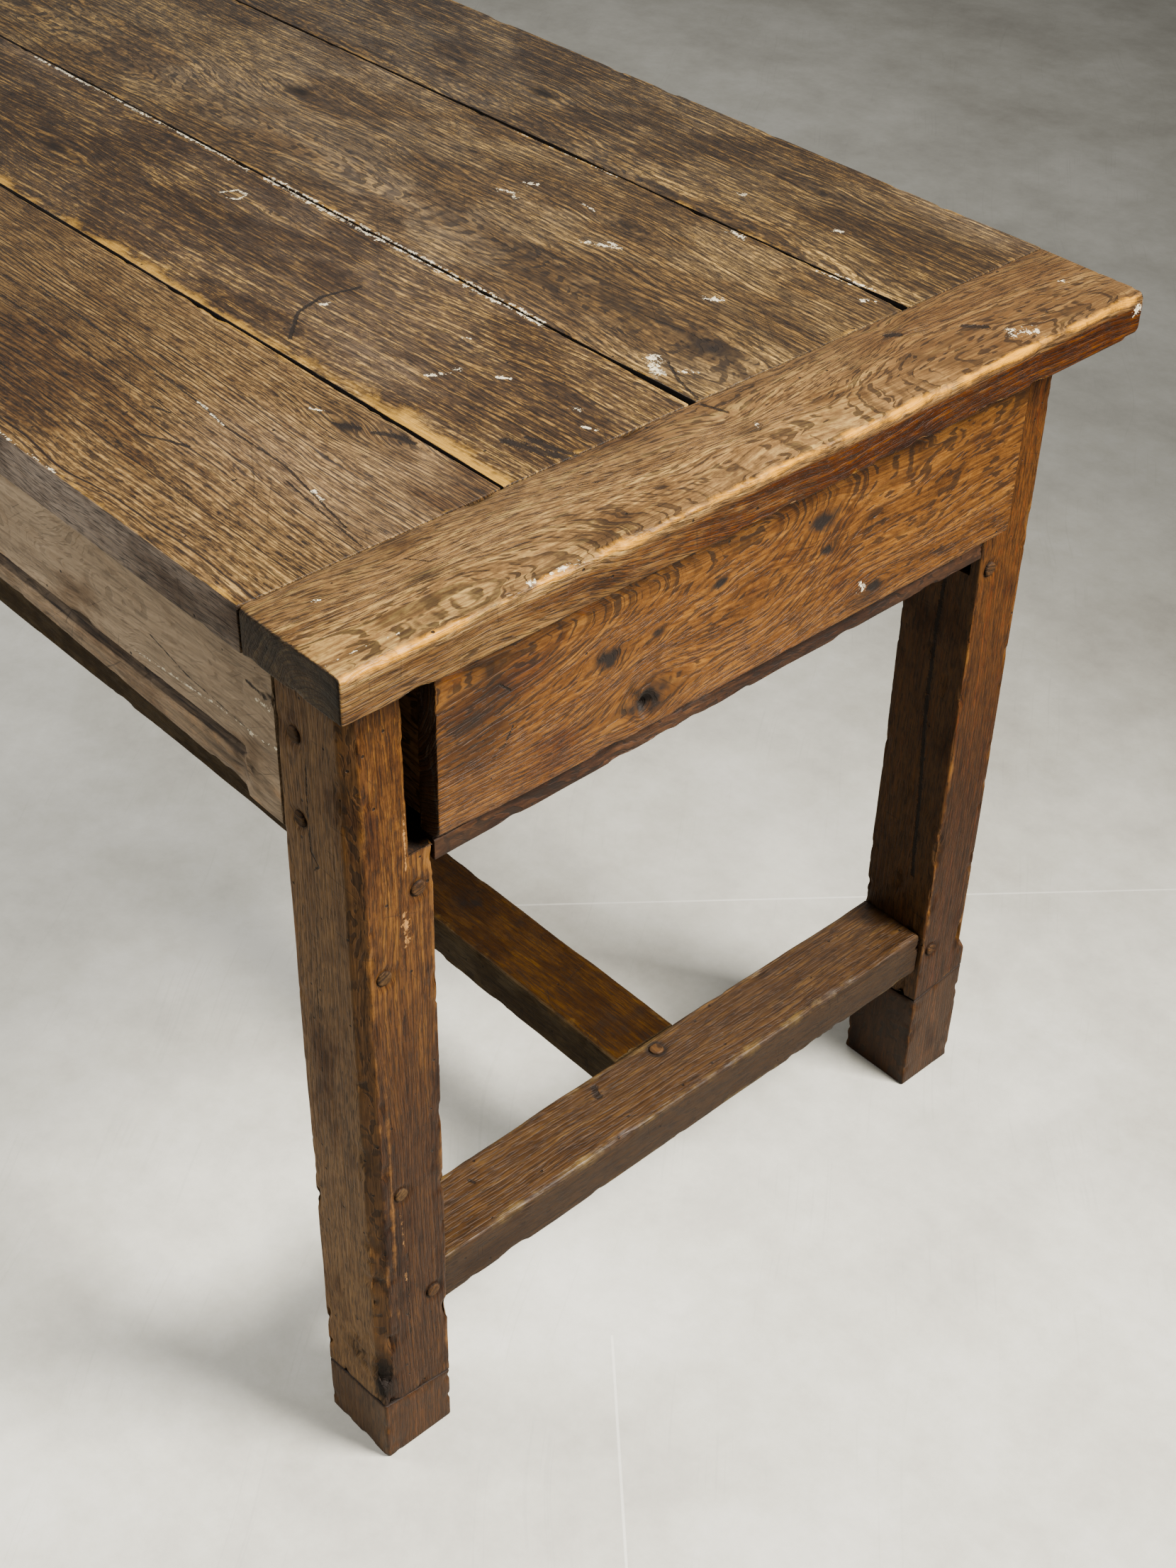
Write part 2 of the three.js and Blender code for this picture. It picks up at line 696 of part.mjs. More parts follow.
function cornerOf(corner) {
  const group = new THREE.Group();
  const { name, endSign, sideSign, tipHeight, plugs } = corner;
  const isFront = endSign > 0;
  const pegX = endSign * (legInnerX + apronPegFromShoulder);
  const outerX = endSign * legOuterX;
  group.add(legPiece(`leg_${name}`, corner, isFront));
  group.add(tipPiece(`foot_tip_${name}`, endSign, sideSign, tipHeight));
  for (const plug of plugs) {
    group.add(peg(`peg_plug_${plug.level}_${name}`, 'x', outerX, sideSign * (legOuterY - plug.fromSide),
      plug.height, -endSign * plugLength));
  }
  const levels = ['lower', 'upper'];
  levels.forEach((level, i) => {
    group.add(peg(`peg_apron_${level}_${name}`, 'y', pegX, sideSign * legOuterY, apronPegHeights[i],
      -sideSign * apronPegLength));
  });
  group.add(peg(`peg_stretcher_${name}`, 'x', outerX, sideSign * (legInnerY + stretcherPegFromEdge),
    endStretcherTop - endStretcherHeight / 2, -endSign * stretcherPegLength));
  if (isFront) {
    group.add(peg(`peg_rail_${name}`, 'x', outerX, sideSign * (legInnerY + railPegFromEdge), railPegHeight,
      -endSign * railPegLength));
  } else {
    const endPegY = sideSign * (legInnerY + apronPegFromShoulder);
    levels.forEach((level, i) => {
      group.add(peg(`peg_end_${level}_${name}`, 'x', outerX, endPegY, apronPegHeights[i] + endPegLift,
        -endSign * apronPegLength));
    });
  }
  return group;
}

// The joined frame that carries the top and the drawer
function joinedFrame() {
  const frame = new THREE.Group();
  for (const corner of corners) {
    frame.add(cornerOf(corner));
  }
  frame.add(sideApronPiece('side_apron_left', -1));
  frame.add(sideApronPiece('side_apron_right', 1));
  frame.add(farApronPiece());
  frame.add(drawerRailPiece());
  frame.add(endStretcherPiece('end_stretcher_drawer_end', 1));
  frame.add(endStretcherPiece('end_stretcher_far_end', -1));
  frame.add(longStretcherPiece());
  for (const end of [{ name: 'drawer_end', sign: 1 }, { name: 'far_end', sign: -1 }]) {
    frame.add(peg(`peg_long_stretcher_${end.name}`, 'z', end.sign * (stretcherInnerX + longPegFromEdge), 0,
      endStretcherTop, -longPegLength));
  }
  frame.add(drawerBearerPiece());
  frame.add(topBearerPiece());
  for (const side of [{ name: 'left', sign: -1 }, { name: 'right', sign: 1 }]) {
    frame.add(runnerPiece(`drawer_runner_${side.name}`, side.sign));
    frame.add(guidePiece(`drawer_guide_${side.name}`, side.sign));
  }
  return frame;
}

// The drawer, shut
function drawer() {
  const group = new THREE.Group();
  group.add(drawerFrontPiece());
  group.add(drawerSidePiece('drawer_side_left', -1));
  group.add(drawerSidePiece('drawer_side_right', 1));
  group.add(drawerBackPiece());
  group.add(drawerBottomPiece('drawer_bottom_left', -1));
  group.add(drawerBottomPiece('drawer_bottom_right', 1));
  return group;
}

const table = new THREE.Group();
table.add(plankTop());
table.add(joinedFrame());
table.add(drawer());

export default table;
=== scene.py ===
# %% [markdown]
# # An old oak dining table
#
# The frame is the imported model: every piece of the table at its real size, with the drawer's slide.
# This lesson dresses it, piece by piece, in worn boards with rubbed arrises and in oak that is drawn by
# nodes. The frame is loaded first, because every board takes its place from it.

# %% Load the frame
import math
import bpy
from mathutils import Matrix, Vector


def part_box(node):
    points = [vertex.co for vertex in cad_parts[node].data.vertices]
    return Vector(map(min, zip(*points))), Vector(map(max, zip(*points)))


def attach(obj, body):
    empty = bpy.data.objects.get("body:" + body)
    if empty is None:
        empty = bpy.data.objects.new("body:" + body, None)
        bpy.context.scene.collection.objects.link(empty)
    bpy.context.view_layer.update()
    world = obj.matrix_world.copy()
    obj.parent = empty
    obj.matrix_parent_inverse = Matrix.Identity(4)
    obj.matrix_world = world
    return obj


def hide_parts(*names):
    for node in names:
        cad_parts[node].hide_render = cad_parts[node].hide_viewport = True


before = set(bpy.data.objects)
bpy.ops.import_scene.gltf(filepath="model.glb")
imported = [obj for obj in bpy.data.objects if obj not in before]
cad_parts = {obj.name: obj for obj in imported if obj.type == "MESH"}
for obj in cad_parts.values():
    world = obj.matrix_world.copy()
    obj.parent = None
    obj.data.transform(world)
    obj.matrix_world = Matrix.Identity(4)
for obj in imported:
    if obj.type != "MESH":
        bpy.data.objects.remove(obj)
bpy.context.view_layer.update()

from types import SimpleNamespace

import numpy as np
import bpy
from mathutils import Matrix, Vector

MM = 0.001

# %% [markdown]
# ## The camera
#
# The photographer stood at the corner of the drawer end and looked down on the top. The camera's place
# and turn were solved from the vanishing lines of the top and the legs, so they are written as a place
# in metres and three angles. The lens is given as on a camera with a 36 mm tall frame.

# %% Camera
CAMERA_PLACE = Vector((1.7816, -0.9065, 1.4494))
CAMERA_HEADING = 0.7555
CAMERA_DIP = 0.6721
CAMERA_ROLL = 0.0241
FRAME_HEIGHT_MM = 36.0
LENS_MM = 51.14


def aim_camera(place, heading, dip, roll):
    """A camera whose look direction is the heading turned back towards -X and dipped below level.

    Right is look x up, and both are then rolled about the look direction."""
    look = Vector((-math.cos(heading) * math.cos(dip), math.sin(heading) * math.cos(dip), -math.sin(dip)))
    right = look.cross(Vector((0, 0, 1))).normalized()
    up = right.cross(look)
    rolled_right = math.cos(roll) * right + math.sin(roll) * up
    rolled_up = -math.sin(roll) * right + math.cos(roll) * up
    data = bpy.data.cameras.new("camera")
    data.sensor_fit = "VERTICAL"
    data.sensor_height = FRAME_HEIGHT_MM
    data.lens = LENS_MM
    data.clip_end = 50
    camera = bpy.data.objects.new("camera", data)
    turn = Matrix((rolled_right, rolled_up, -look)).transposed().to_4x4()
    camera.matrix_world = Matrix.Translation(place) @ turn
    bpy.context.scene.collection.objects.link(camera)
    bpy.context.scene.camera = camera
    return camera


camera = aim_camera(CAMERA_PLACE, CAMERA_HEADING, CAMERA_DIP, CAMERA_ROLL)
print("camera", [round(v, 3) for v in camera.location])

# %% [markdown]
# ## Noise that can be asked anywhere
#
# Wear is irregular but not random: a dent has a size and fades out at its rim. Value noise gives that.
# Every corner of a lattice holds a scrambled number, and a point takes the smoothly weighted mean of the
# eight corners round it. The scrambling is whole-number arithmetic, so every run gives the same wear.

# %% Noise
SCRAMBLE_X, SCRAMBLE_Y, SCRAMBLE_Z, SCRAMBLE_SEED = 374761393, 668265263, 2147483647, 1274126177
WORD = 0xFFFFFFFF


def smooth(t):
    """Held between 0 and 1, then 3t^2 - 2t^3, so that it leaves 0 and reaches 1 with no kink."""
    t = np.clip(t, 0.0, 1.0)
    return t * t * (3.0 - 2.0 * t)


def scrambled(cell, seed):
    """Whole-number lattice addresses as repeatable numbers from -1 to 1: multiply and fold, twice."""
    word = cell[..., 0] * SCRAMBLE_X + cell[..., 1] * SCRAMBLE_Y + cell[..., 2] * SCRAMBLE_Z
    word = (word + seed * SCRAMBLE_SEED) & WORD
    word = ((word ^ (word >> 13)) * SCRAMBLE_SEED) & WORD
    word = word ^ (word >> 16)
    return word / (0.5 * WORD) - 1.0


def noise(place, size, seed):
    """Value noise from -1 to 1 with lattice corners `size` apart; size may differ along x, y and z."""
    scaled = place / np.asarray(size)
    cell = np.floor(scaled)
    part = smooth(scaled - cell)
    cell = cell.astype(np.int64)
    total = np.zeros(place.shape[:-1])
    for corner in np.ndindex(2, 2, 2):
        weight = np.prod(np.where(corner, part, 1.0 - part), axis=-1)
        total += weight * scrambled(cell + np.array(corner), seed)
    return total


def layered(place, size, seed, layers=3):
    """Noise plus finer noise: each layer has half the size and half the strength of the one before."""
    size = np.asarray(size, dtype=float)
    total = sum(noise(place, size / 2 ** n, seed + n) / 2 ** n for n in range(layers))
    return total / (2 - 0.5 ** (layers - 1))


probe = layered(np.random.default_rng(1).uniform(-1, 1, (4000, 3)), 0.05, 3)
print("noise runs from", round(float(probe.min()), 2), "to", round(float(probe.max()), 2))

# %% [markdown]
# ## A board as a ring carried along its length
#
# An old board is a sawn section with arrises that hands and feet have rubbed round. So a board is a closed
# ring of points, worked out at every station along the board: straight edges, and a small curve at each
# corner. The section may change on the way, as a leg does at its shoulder, because every station gets
# its own corners. The two ends turn over a small arris of their own and close in shrinking rings.

# %% Rings and stations
ARC_STEPS = 5
ARRIS_FADE = 5 * MM
CAP_SHARES = (0.03, 0.25, 0.48, 0.68, 0.84, 0.95)
AXES = {"x": (0, 1, 2), "y": (1, 0, 2), "z": (2, 0, 1)}


def rounded_ring(corners, radii, edge_steps):
    """The rings of all stations: corners is (stations, corners, 2), radii (stations, corners).

    At corner C the curve starts at A and ends at B, both one radius from C along the two edges, and runs
    along (1-t)^2 A + 2t(1-t) C + t^2 B. Even steps fill the straight part up to the next curve. The second
    result says how near a point is to an arris: 1 on the curve, and exp(-distance / fade) beside it."""
    back = np.roll(corners, 1, axis=1) - corners
    ahead = np.roll(corners, -1, axis=1) - corners
    back_length = np.maximum(np.linalg.norm(back, axis=2), 1e-6)
    ahead_length = np.maximum(np.linalg.norm(ahead, axis=2), 1e-6)
    reach = np.minimum(radii, 0.45 * np.minimum(back_length, ahead_length))
    start = corners + back * (reach / back_length)[..., None]
    end = corners + ahead * (reach / ahead_length)[..., None]
    t = np.linspace(0, 1, ARC_STEPS)[None, :, None]
    points, nearness = [], []
    for k, steps in enumerate(edge_steps):
        a, c, b = start[:, k, None], corners[:, k, None], end[:, k, None]
        points.append((1 - t) ** 2 * a + 2 * t * (1 - t) * c + t ** 2 * b)
        nearness.append(np.ones(points[-1].shape[:2]))
        following = start[:, (k + 1) % len(edge_steps), None]
        share = ((np.arange(steps) + 1) / (steps + 1))[None, :, None]
        points.append(b + share * (following - b))
        gap = np.linalg.norm(following - b, axis=2) * np.minimum(share, 1 - share)[..., 0]
        nearness.append(np.exp(-gap / ARRIS_FADE))
    return np.concatenate(points, axis=1), np.concatenate(nearness, axis=1)


def stations(low, high, spacing, arris, extra=()):
    """Places along a board, and how far its ring is drawn in there.

    Round each end they follow a quarter circle of the arris: r(1 - cos) in from the end, with the ring
    drawn in by r(1 - sin). Between the ends the steps are even, with any extra places added."""
    turn = np.linspace(0, math.pi / 2, ARC_STEPS)
    offset = arris * (1 - np.cos(turn))
    drawn = arris * (1 - np.sin(turn))
    count = int(round((high - low) / spacing)) + 1
    middle = np.linspace(low + arris, high - arris, count)[1:-1]
    middle = np.union1d(middle, np.array(extra, dtype=float))
    along = np.concatenate([low + offset, middle, (high - offset)[::-1]])
    inset = np.concatenate([drawn, np.zeros(len(middle)), drawn[::-1]])
    return along, inset


def swept(axis, low, high, spacing, section, edge_steps, arris=2 * MM, extra=()):
    """A board as a closed grid of places (rings, points, 3), with each point's nearness to an arris."""
    along, inset = stations(low, high, spacing, arris, extra)
    corners, radii = section(along)
    ring, nearness = rounded_ring(corners, radii, edge_steps)
    middle = (ring.max(axis=1, keepdims=True) + ring.min(axis=1, keepdims=True)) / 2
    half = (ring.max(axis=1, keepdims=True) - ring.min(axis=1, keepdims=True)) / 2
    ring = middle + (ring - middle) * (1 - inset[:, None, None] / half)
    centre = ring.mean(axis=1, keepdims=True)
    shares = np.array(CAP_SHARES)[:, None, None]
    first = centre[0] + (ring[0] - centre[0]) * shares
    last = centre[-1] + (ring[-1] - centre[-1]) * shares[::-1]
    ring = np.concatenate([first, ring, last])
    caps = len(CAP_SHARES)
    along = np.concatenate([np.full(caps, along[0]), along, np.full(caps, along[-1])])
    near_end = np.exp(-np.minimum(along - along[0], along[-1] - along) / ARRIS_FADE)
    edge_of_cap = np.exp(-(1 - shares[:, 0]) * half[0].mean() / ARRIS_FADE)
    nearness = np.concatenate([edge_of_cap * np.ones(nearness.shape[1]), nearness,
                               edge_of_cap[::-1] * np.ones(nearness.shape[1])])
    side = slice(caps, len(along) - caps)
    nearness[side] = np.maximum(nearness[side], near_end[side, None])
    place = np.empty(ring.shape[:2] + (3,))
    run, across, deep = AXES[axis]
    place[..., run] = along[:, None]
    place[..., across] = ring[..., 0]
    place[..., deep] = ring[..., 1]
    return place, nearness


def outward(place):
    """Unit normals of a closed grid: the cross product of its two differences, turned to point out.

    The turn is found from the volume, the sum of place . normal, which is positive for a normal that
    points out of a closed surface round its own middle."""
    round_it = np.roll(place, -1, axis=1) - np.roll(place, 1, axis=1)
    along_it = np.gradient(place, axis=0)
    normal = np.cross(round_it, along_it)
    normal /= np.maximum(np.linalg.norm(normal, axis=2, keepdims=True), 1e-12)
    middle = (place.max(axis=(0, 1)) + place.min(axis=(0, 1))) / 2
    if np.sum((place - middle) * normal) < 0:
        normal = -normal
    return normal


def plain_section(u0, u1, v0, v1, radii):
    """A section of four corners; each side and radius is one number or one number for every station."""
    def section(along):
        ones = np.ones(len(along))
        side = [value(along) if callable(value) else value * ones for value in (u0, u1, v0, v1)]
        a, b, c, d = side
        corners = np.stack([np.stack([a, c], 1), np.stack([b, c], 1),
                            np.stack([b, d], 1), np.stack([a, d], 1)], axis=1)
        sizes = [value(along) if callable(value) else value * ones for value in radii]
        return corners, np.stack(sizes, axis=1)
    return section


print("a ring's curve has", ARC_STEPS, "points, an end closes in", len(CAP_SHARES), "rings")

# %% [markdown]
# ## Wear, and the mesh
#
# Wear only takes wood away, so every relief is a depth below the sawn face: slow waves from the plane,
# small dents, and bites along the arrises. Each point also gets six painted values that the oak reads:
# wear (rubbed pale), dark (dirt in corners and knots, and painted shade on undersides, inner faces, in
# recesses and under the top), grey (dry, unwaxed faces, and on the legs partly painted cool shade), stain
# (broad dark patches), bend (how far a knot pushes the grain aside) and rise (how far the rings dip under
# the face, which opens them into arches). They are painted by formulas of the place, so a knot's relief,
# its dirt and its grain agree.

# %% Wear and mesh
PAINTS = ("wear", "dark", "grey", "stain", "bend", "rise")
SHARP_ANGLE = math.radians(42)


def spot(place, centre, size):
    """A soft spot, exp(-d^2) with d measured in the spot's own sizes along x, y and z."""
    scaled = (place - np.asarray(centre)) / np.asarray(size)
    return np.exp(-np.sum(scaled ** 2, axis=-1))


def patches(place, spots, seed, rim=0.03):
    """Stains at known places: the strongest of soft spots, each with a rim broken up by noise."""
    broken = 1 + 0.6 * layered(place, rim, seed)
    total = np.zeros(place.shape[:2])
    for centre, size, strength in spots:
        total = np.maximum(total, strength * smooth(spot(place, centre, size) * broken * 1.3))
    return total


def mesh_of(name, place, paints):
    """A closed mesh from a grid: quads between rings and two fans to a pole, facing out.

    Point (i, j) has number i * points + j. The poles come last, each the mean of its ring."""
    rings, points = place.shape[:2]
    number = np.arange(rings * points).reshape(rings, points)
    following = np.roll(number, -1, axis=1)
    quads = np.stack([number[:-1], following[:-1], following[1:], number[1:]], axis=-1).reshape(-1, 4)
    poles = rings * points + np.arange(2)
    near_fan = np.stack([following[0], number[0], np.full(points, poles[0])], axis=-1)
    far_fan = np.stack([number[-1], following[-1], np.full(points, poles[1])], axis=-1)
    flat = np.concatenate([place.reshape(-1, 3), place[0].mean(axis=0)[None], place[-1].mean(axis=0)[None]])
    a, b, c = flat[quads[:, 0]], flat[quads[:, 1]], flat[quads[:, 2]]
    if np.sum(np.cross(b - a, c - a) * (a - flat.mean(axis=0))) < 0:
        quads, near_fan, far_fan = quads[:, ::-1], near_fan[:, ::-1], far_fan[:, ::-1]
    corners = np.concatenate([quads.ravel(), near_fan.ravel(), far_fan.ravel()])
    sizes = np.concatenate([np.full(len(quads), 4), np.full(2 * points, 3)])
    mesh = bpy.data.meshes.new(name)
    mesh.vertices.add(len(flat))
    mesh.vertices.foreach_set("co", flat.astype(np.float32).ravel())
    mesh.loops.add(len(corners))
    mesh.loops.foreach_set("vertex_index", corners.astype(np.int32))
    mesh.polygons.add(len(sizes))
    mesh.polygons.foreach_set("loop_start", np.concatenate([[0], np.cumsum(sizes)[:-1]]).astype(np.int32))
    mesh.polygons.foreach_set("use_smooth", np.ones(len(sizes), dtype=bool))
    mesh.update(calc_edges=True)
    mesh.set_sharp_from_angle(angle=SHARP_ANGLE)
    for paint in PAINTS:
        values = np.broadcast_to(paints.get(paint, 0.0), (rings, points)).ravel()
        values = np.concatenate([values, [values[0], values[-1]]])
        layer = mesh.attributes.new(paint, "FLOAT", "POINT")
        layer.data.foreach_set("value", values.astype(np.float32))
    mesh.validate()
    return mesh


print("each point carries", ", ".join(PAINTS))

# %% [markdown]
# ### A board while it is being worn
#
# Every board goes the same way: waves and bites are taken off it, its grain is bent, each paint keeps the
# strongest of what is laid on it, and at the end the grid becomes a mesh in place of its CAD node.

# %% The worn board
PATCH_DEPTH = 0.1
triangles_made = []


class Worn:
    """A board's grid: places, normals, nearness to an arris, the depth taken off it and its paints.

    Every noise of a board has its own number, which is added to the board's seed."""

    def __init__(self, seed, place, near):
        self.seed, self.place, self.near = seed, place, near
        self.x, self.y, self.z = np.moveaxis(place, -1, 0)
        self.normal = outward(place)
        self.depth = np.zeros(near.shape)
        self.paints = {}

    def noise(self, size, number, layers=3):
        return layered(self.place, size, self.seed + number, layers)

    def faces(self, *direction):
        """How squarely each point faces a direction, from 0 beyond 60 degrees to 1."""
        return smooth((self.normal @ np.array(direction, dtype=float) - 0.5) * 2.0)

    def spot(self, centre, size):
        return spot(self.place, centre, size)

    def wave(self, size, depth, number=0):
        """Takes off slow waves, from nothing to the depth in millimetres."""
        self.depth += depth * MM * (0.5 + 0.5 * self.noise(size, number, 2))

    def bite(self, size, depth, number, level, share=1.0):
        """Takes bites off the arrises, where the noise is over the level, to the depth in millimetres."""
        self.depth += depth * MM * self.near * smooth((self.noise(size, number) - level) * 2.2) * share

    def grain(self, bend, bend_size, rise, rise_size):
        """Lets the rings wander aside and dip, each by a slow noise."""
        self.paints["bend"] = bend * self.noise(bend_size, 20)
        self.paints["rise"] = rise * self.noise(rise_size, 21)

    def knot(self, axes, along, aside, length, width, push):
        """Pushes the grain away from a knot's middle, by push * d * exp(-d^2) with d across the board.

        axes are the numbers of the axes along and across the face. The result is the knot's dark core."""
        run = (self.place[..., axes[0]] - along) / length
        across = (self.place[..., axes[1]] - aside) / width
        self.paints["bend"] = self.paints["bend"] - push * across * np.exp(-run ** 2 - across ** 2)
        return np.exp(-(run ** 2 + across ** 2) * 6.0)

    def paint(self, name, value):
        """Keeps the stronger of what is painted already and the value."""
        held = self.paints.get(name)
        self.paints[name] = value if held is None else np.maximum(held, value)

    def stains(self, spots, rim=0.03):
        return patches(self.place, spots, self.seed + 70, rim)

    def worn(self):
        return self.place - self.normal * self.depth[..., None]

    def finish(self, node, material, body="frame"):
        """Puts the board in the scene, in place of its CAD node, and on its body."""
        mesh = mesh_of("worn_" + node, self.worn(), self.paints)
        mesh.materials.append(material)
        piece = bpy.data.objects.new("worn_" + node, mesh)
        bpy.context.scene.collection.objects.link(piece)
        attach(piece, body)
        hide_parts(node)
        triangles_made.append(len(mesh.loops) - 2 * len(mesh.polygons))
        return piece


print("a board's grid can be worn, painted and finished")

# %% [markdown]
# ## Oak, as a few shared node groups
#
# Old oak is several things laid over each other: growth rings round a pith that lies somewhere under the
# board, fibres and open pores along it, stains, worm holes, scratches and rubbed arrises. Each is a node
# group here, because every board shows all of them, each in its own measure. The Bench is a small helper
# that lays the nodes on a tree: wherever it asks for a value it takes a number or another node's socket.

# %% The bench for node trees
class Bench:
    """Lays nodes on one tree and links them. Every method returns the new node's output socket."""

    def __init__(self, tree):
        self.tree = tree
        self.count = 0

    def add(self, kind, feeds=(), **settings):
        node = self.tree.nodes.new(kind)
        node.location = (200 * (self.count % 12), -260 * (self.count // 12))
        self.count += 1
        for key, value in settings.items():
            setattr(node, key, value)
        for socket, value in feeds:
            self.feed(node.inputs[socket], value)
        return node

    def feed(self, socket, value):
        if isinstance(value, bpy.types.NodeSocket):
            self.tree.links.new(value, socket)
        else:
            socket.default_value = value

    def math(self, operation, a, b=0.0, c=0.0, clamp=False):
        feeds = [(0, a), (1, b), (2, c)]
        return self.add("ShaderNodeMath", feeds, operation=operation, use_clamp=clamp).outputs[0]

    def plus(self, a, b):
        return self.math("ADD", a, b)

    def minus(self, a, b):
        return self.math("SUBTRACT", a, b)

    def times(self, a, b, clamp=False):
        return self.math("MULTIPLY", a, b, clamp=clamp)

    def times_plus(self, a, b, c, clamp=False):
        return self.math("MULTIPLY_ADD", a, b, c, clamp)

    def larger(self, a, b):
        return self.math("MAXIMUM", a, b)

    def vector(self, operation, a, b=(0.0, 0.0, 0.0), answer=0):
        return self.add("ShaderNodeVectorMath", [(0, a), (1, b)], operation=operation).outputs[answer]

    def stretched(self, place, scale):
        return self.vector("MULTIPLY", place, scale)

    def own_place(self, take, direction):
        """The place, shifted by the seed, so that every board has its own part of a noise."""
        return self.vector("ADD", take["Place"], self.scaled(direction, take["Seed"]))

    def scaled(self, a, factor):
        return self.add("ShaderNodeVectorMath", [(0, a), ("Scale", factor)], operation="SCALE").outputs[0]

    def noise(self, place, detail=2.0, rough=0.5, scale=1.0, answer="Fac"):
        feeds = [("Vector", place), ("Scale", scale), ("Detail", detail), ("Roughness", rough)]
        return self.add("ShaderNodeTexNoise", feeds).outputs[answer]

    def ease(self, value, low, high, to_low=0.0, to_high=1.0):
        feeds = [("Value", value), ("From Min", low), ("From Max", high),
                 ("To Min", to_low), ("To Max", to_high)]
        return self.add("ShaderNodeMapRange", feeds, interpolation_type="SMOOTHSTEP").outputs[0]

    def split(self, vector):
        return self.add("ShaderNodeSeparateXYZ", [(0, vector)]).outputs

    def joined(self, x, y, z):
        return self.add("ShaderNodeCombineXYZ", [(0, x), (1, y), (2, z)]).outputs[0]

    def mix(self, factor, a, b, blend="MIX"):
        node = self.add("ShaderNodeMix", data_type="RGBA", blend_type=blend)
        for socket, value in ((node.inputs[0], factor), (node.inputs[6], a), (node.inputs[7], b)):
            self.feed(socket, value)
        return node.outputs[2]

    def ramp(self, value, stops):
        node = self.add("ShaderNodeValToRGB", [("Fac", value)])
        elements = node.color_ramp.elements
        while len(elements) < len(stops):
            elements.new(0.5)
        for element, (position, colour) in zip(elements, stops):
            element.position = position
            element.color = colour
        return node.outputs[0]

    def group(self, tree, feeds):
        node = self.add("ShaderNodeGroup", node_tree=tree)
        for socket, value in feeds.items():
            self.feed(node.inputs[socket], value)
        return node.outputs


def new_group(name, vectors, values, outputs=("Mask",)):
    """An empty shader group with named sockets; returns the tree, a bench, its inputs and its outputs."""
    tree = bpy.data.node_groups.new(name, "ShaderNodeTree")
    for label in vectors:
        tree.interface.new_socket(name=label, in_out="INPUT", socket_type="NodeSocketVector")
    for label, value in values.items():
        socket = tree.interface.new_socket(name=label, in_out="INPUT", socket_type="NodeSocketFloat")
        socket.default_value = value
    for label in outputs:
        tree.interface.new_socket(name=label, in_out="OUTPUT", socket_type="NodeSocketFloat")
    entry = tree.nodes.new("NodeGroupInput")
    leave = tree.nodes.new("NodeGroupOutput")
    return tree, Bench(tree), entry.outputs, leave.inputs


print("benches are ready")

# %% [markdown]
# ### Grain
#
# A board is cut from a log, so its rings are cylinders round a pith line. Where the pith lies shallow and
# a little askew under the board, the face cuts the cylinders lengthwise and shows long arches; deep under
# it they become straight lines. Two slow noises make the rings wander, and the painted bend pushes them
# round knots. Fibres and pores are noises drawn out along the board.

# %% Grain group
SWAY_SCALE = (1.7, 11.0, 11.0)
SWAY = (0.0, 0.024, 0.024)
RIPPLE_SCALE = (13.0, 70.0, 70.0)
RIPPLE = (0.0, 0.0034, 0.0034)
FIBRE_SCALE = (30.0, 520.0, 520.0)
STREAK_SCALE = (5.0, 62.0, 62.0)
FLECK_SCALE = (150.0, 380.0, 380.0)
DASH_SCALE = (30.0, 0.85, 12.0)
PORE_SCALE = (85.0, 4.6, 50.0)
HALF = (0.5, 0.5, 0.5)


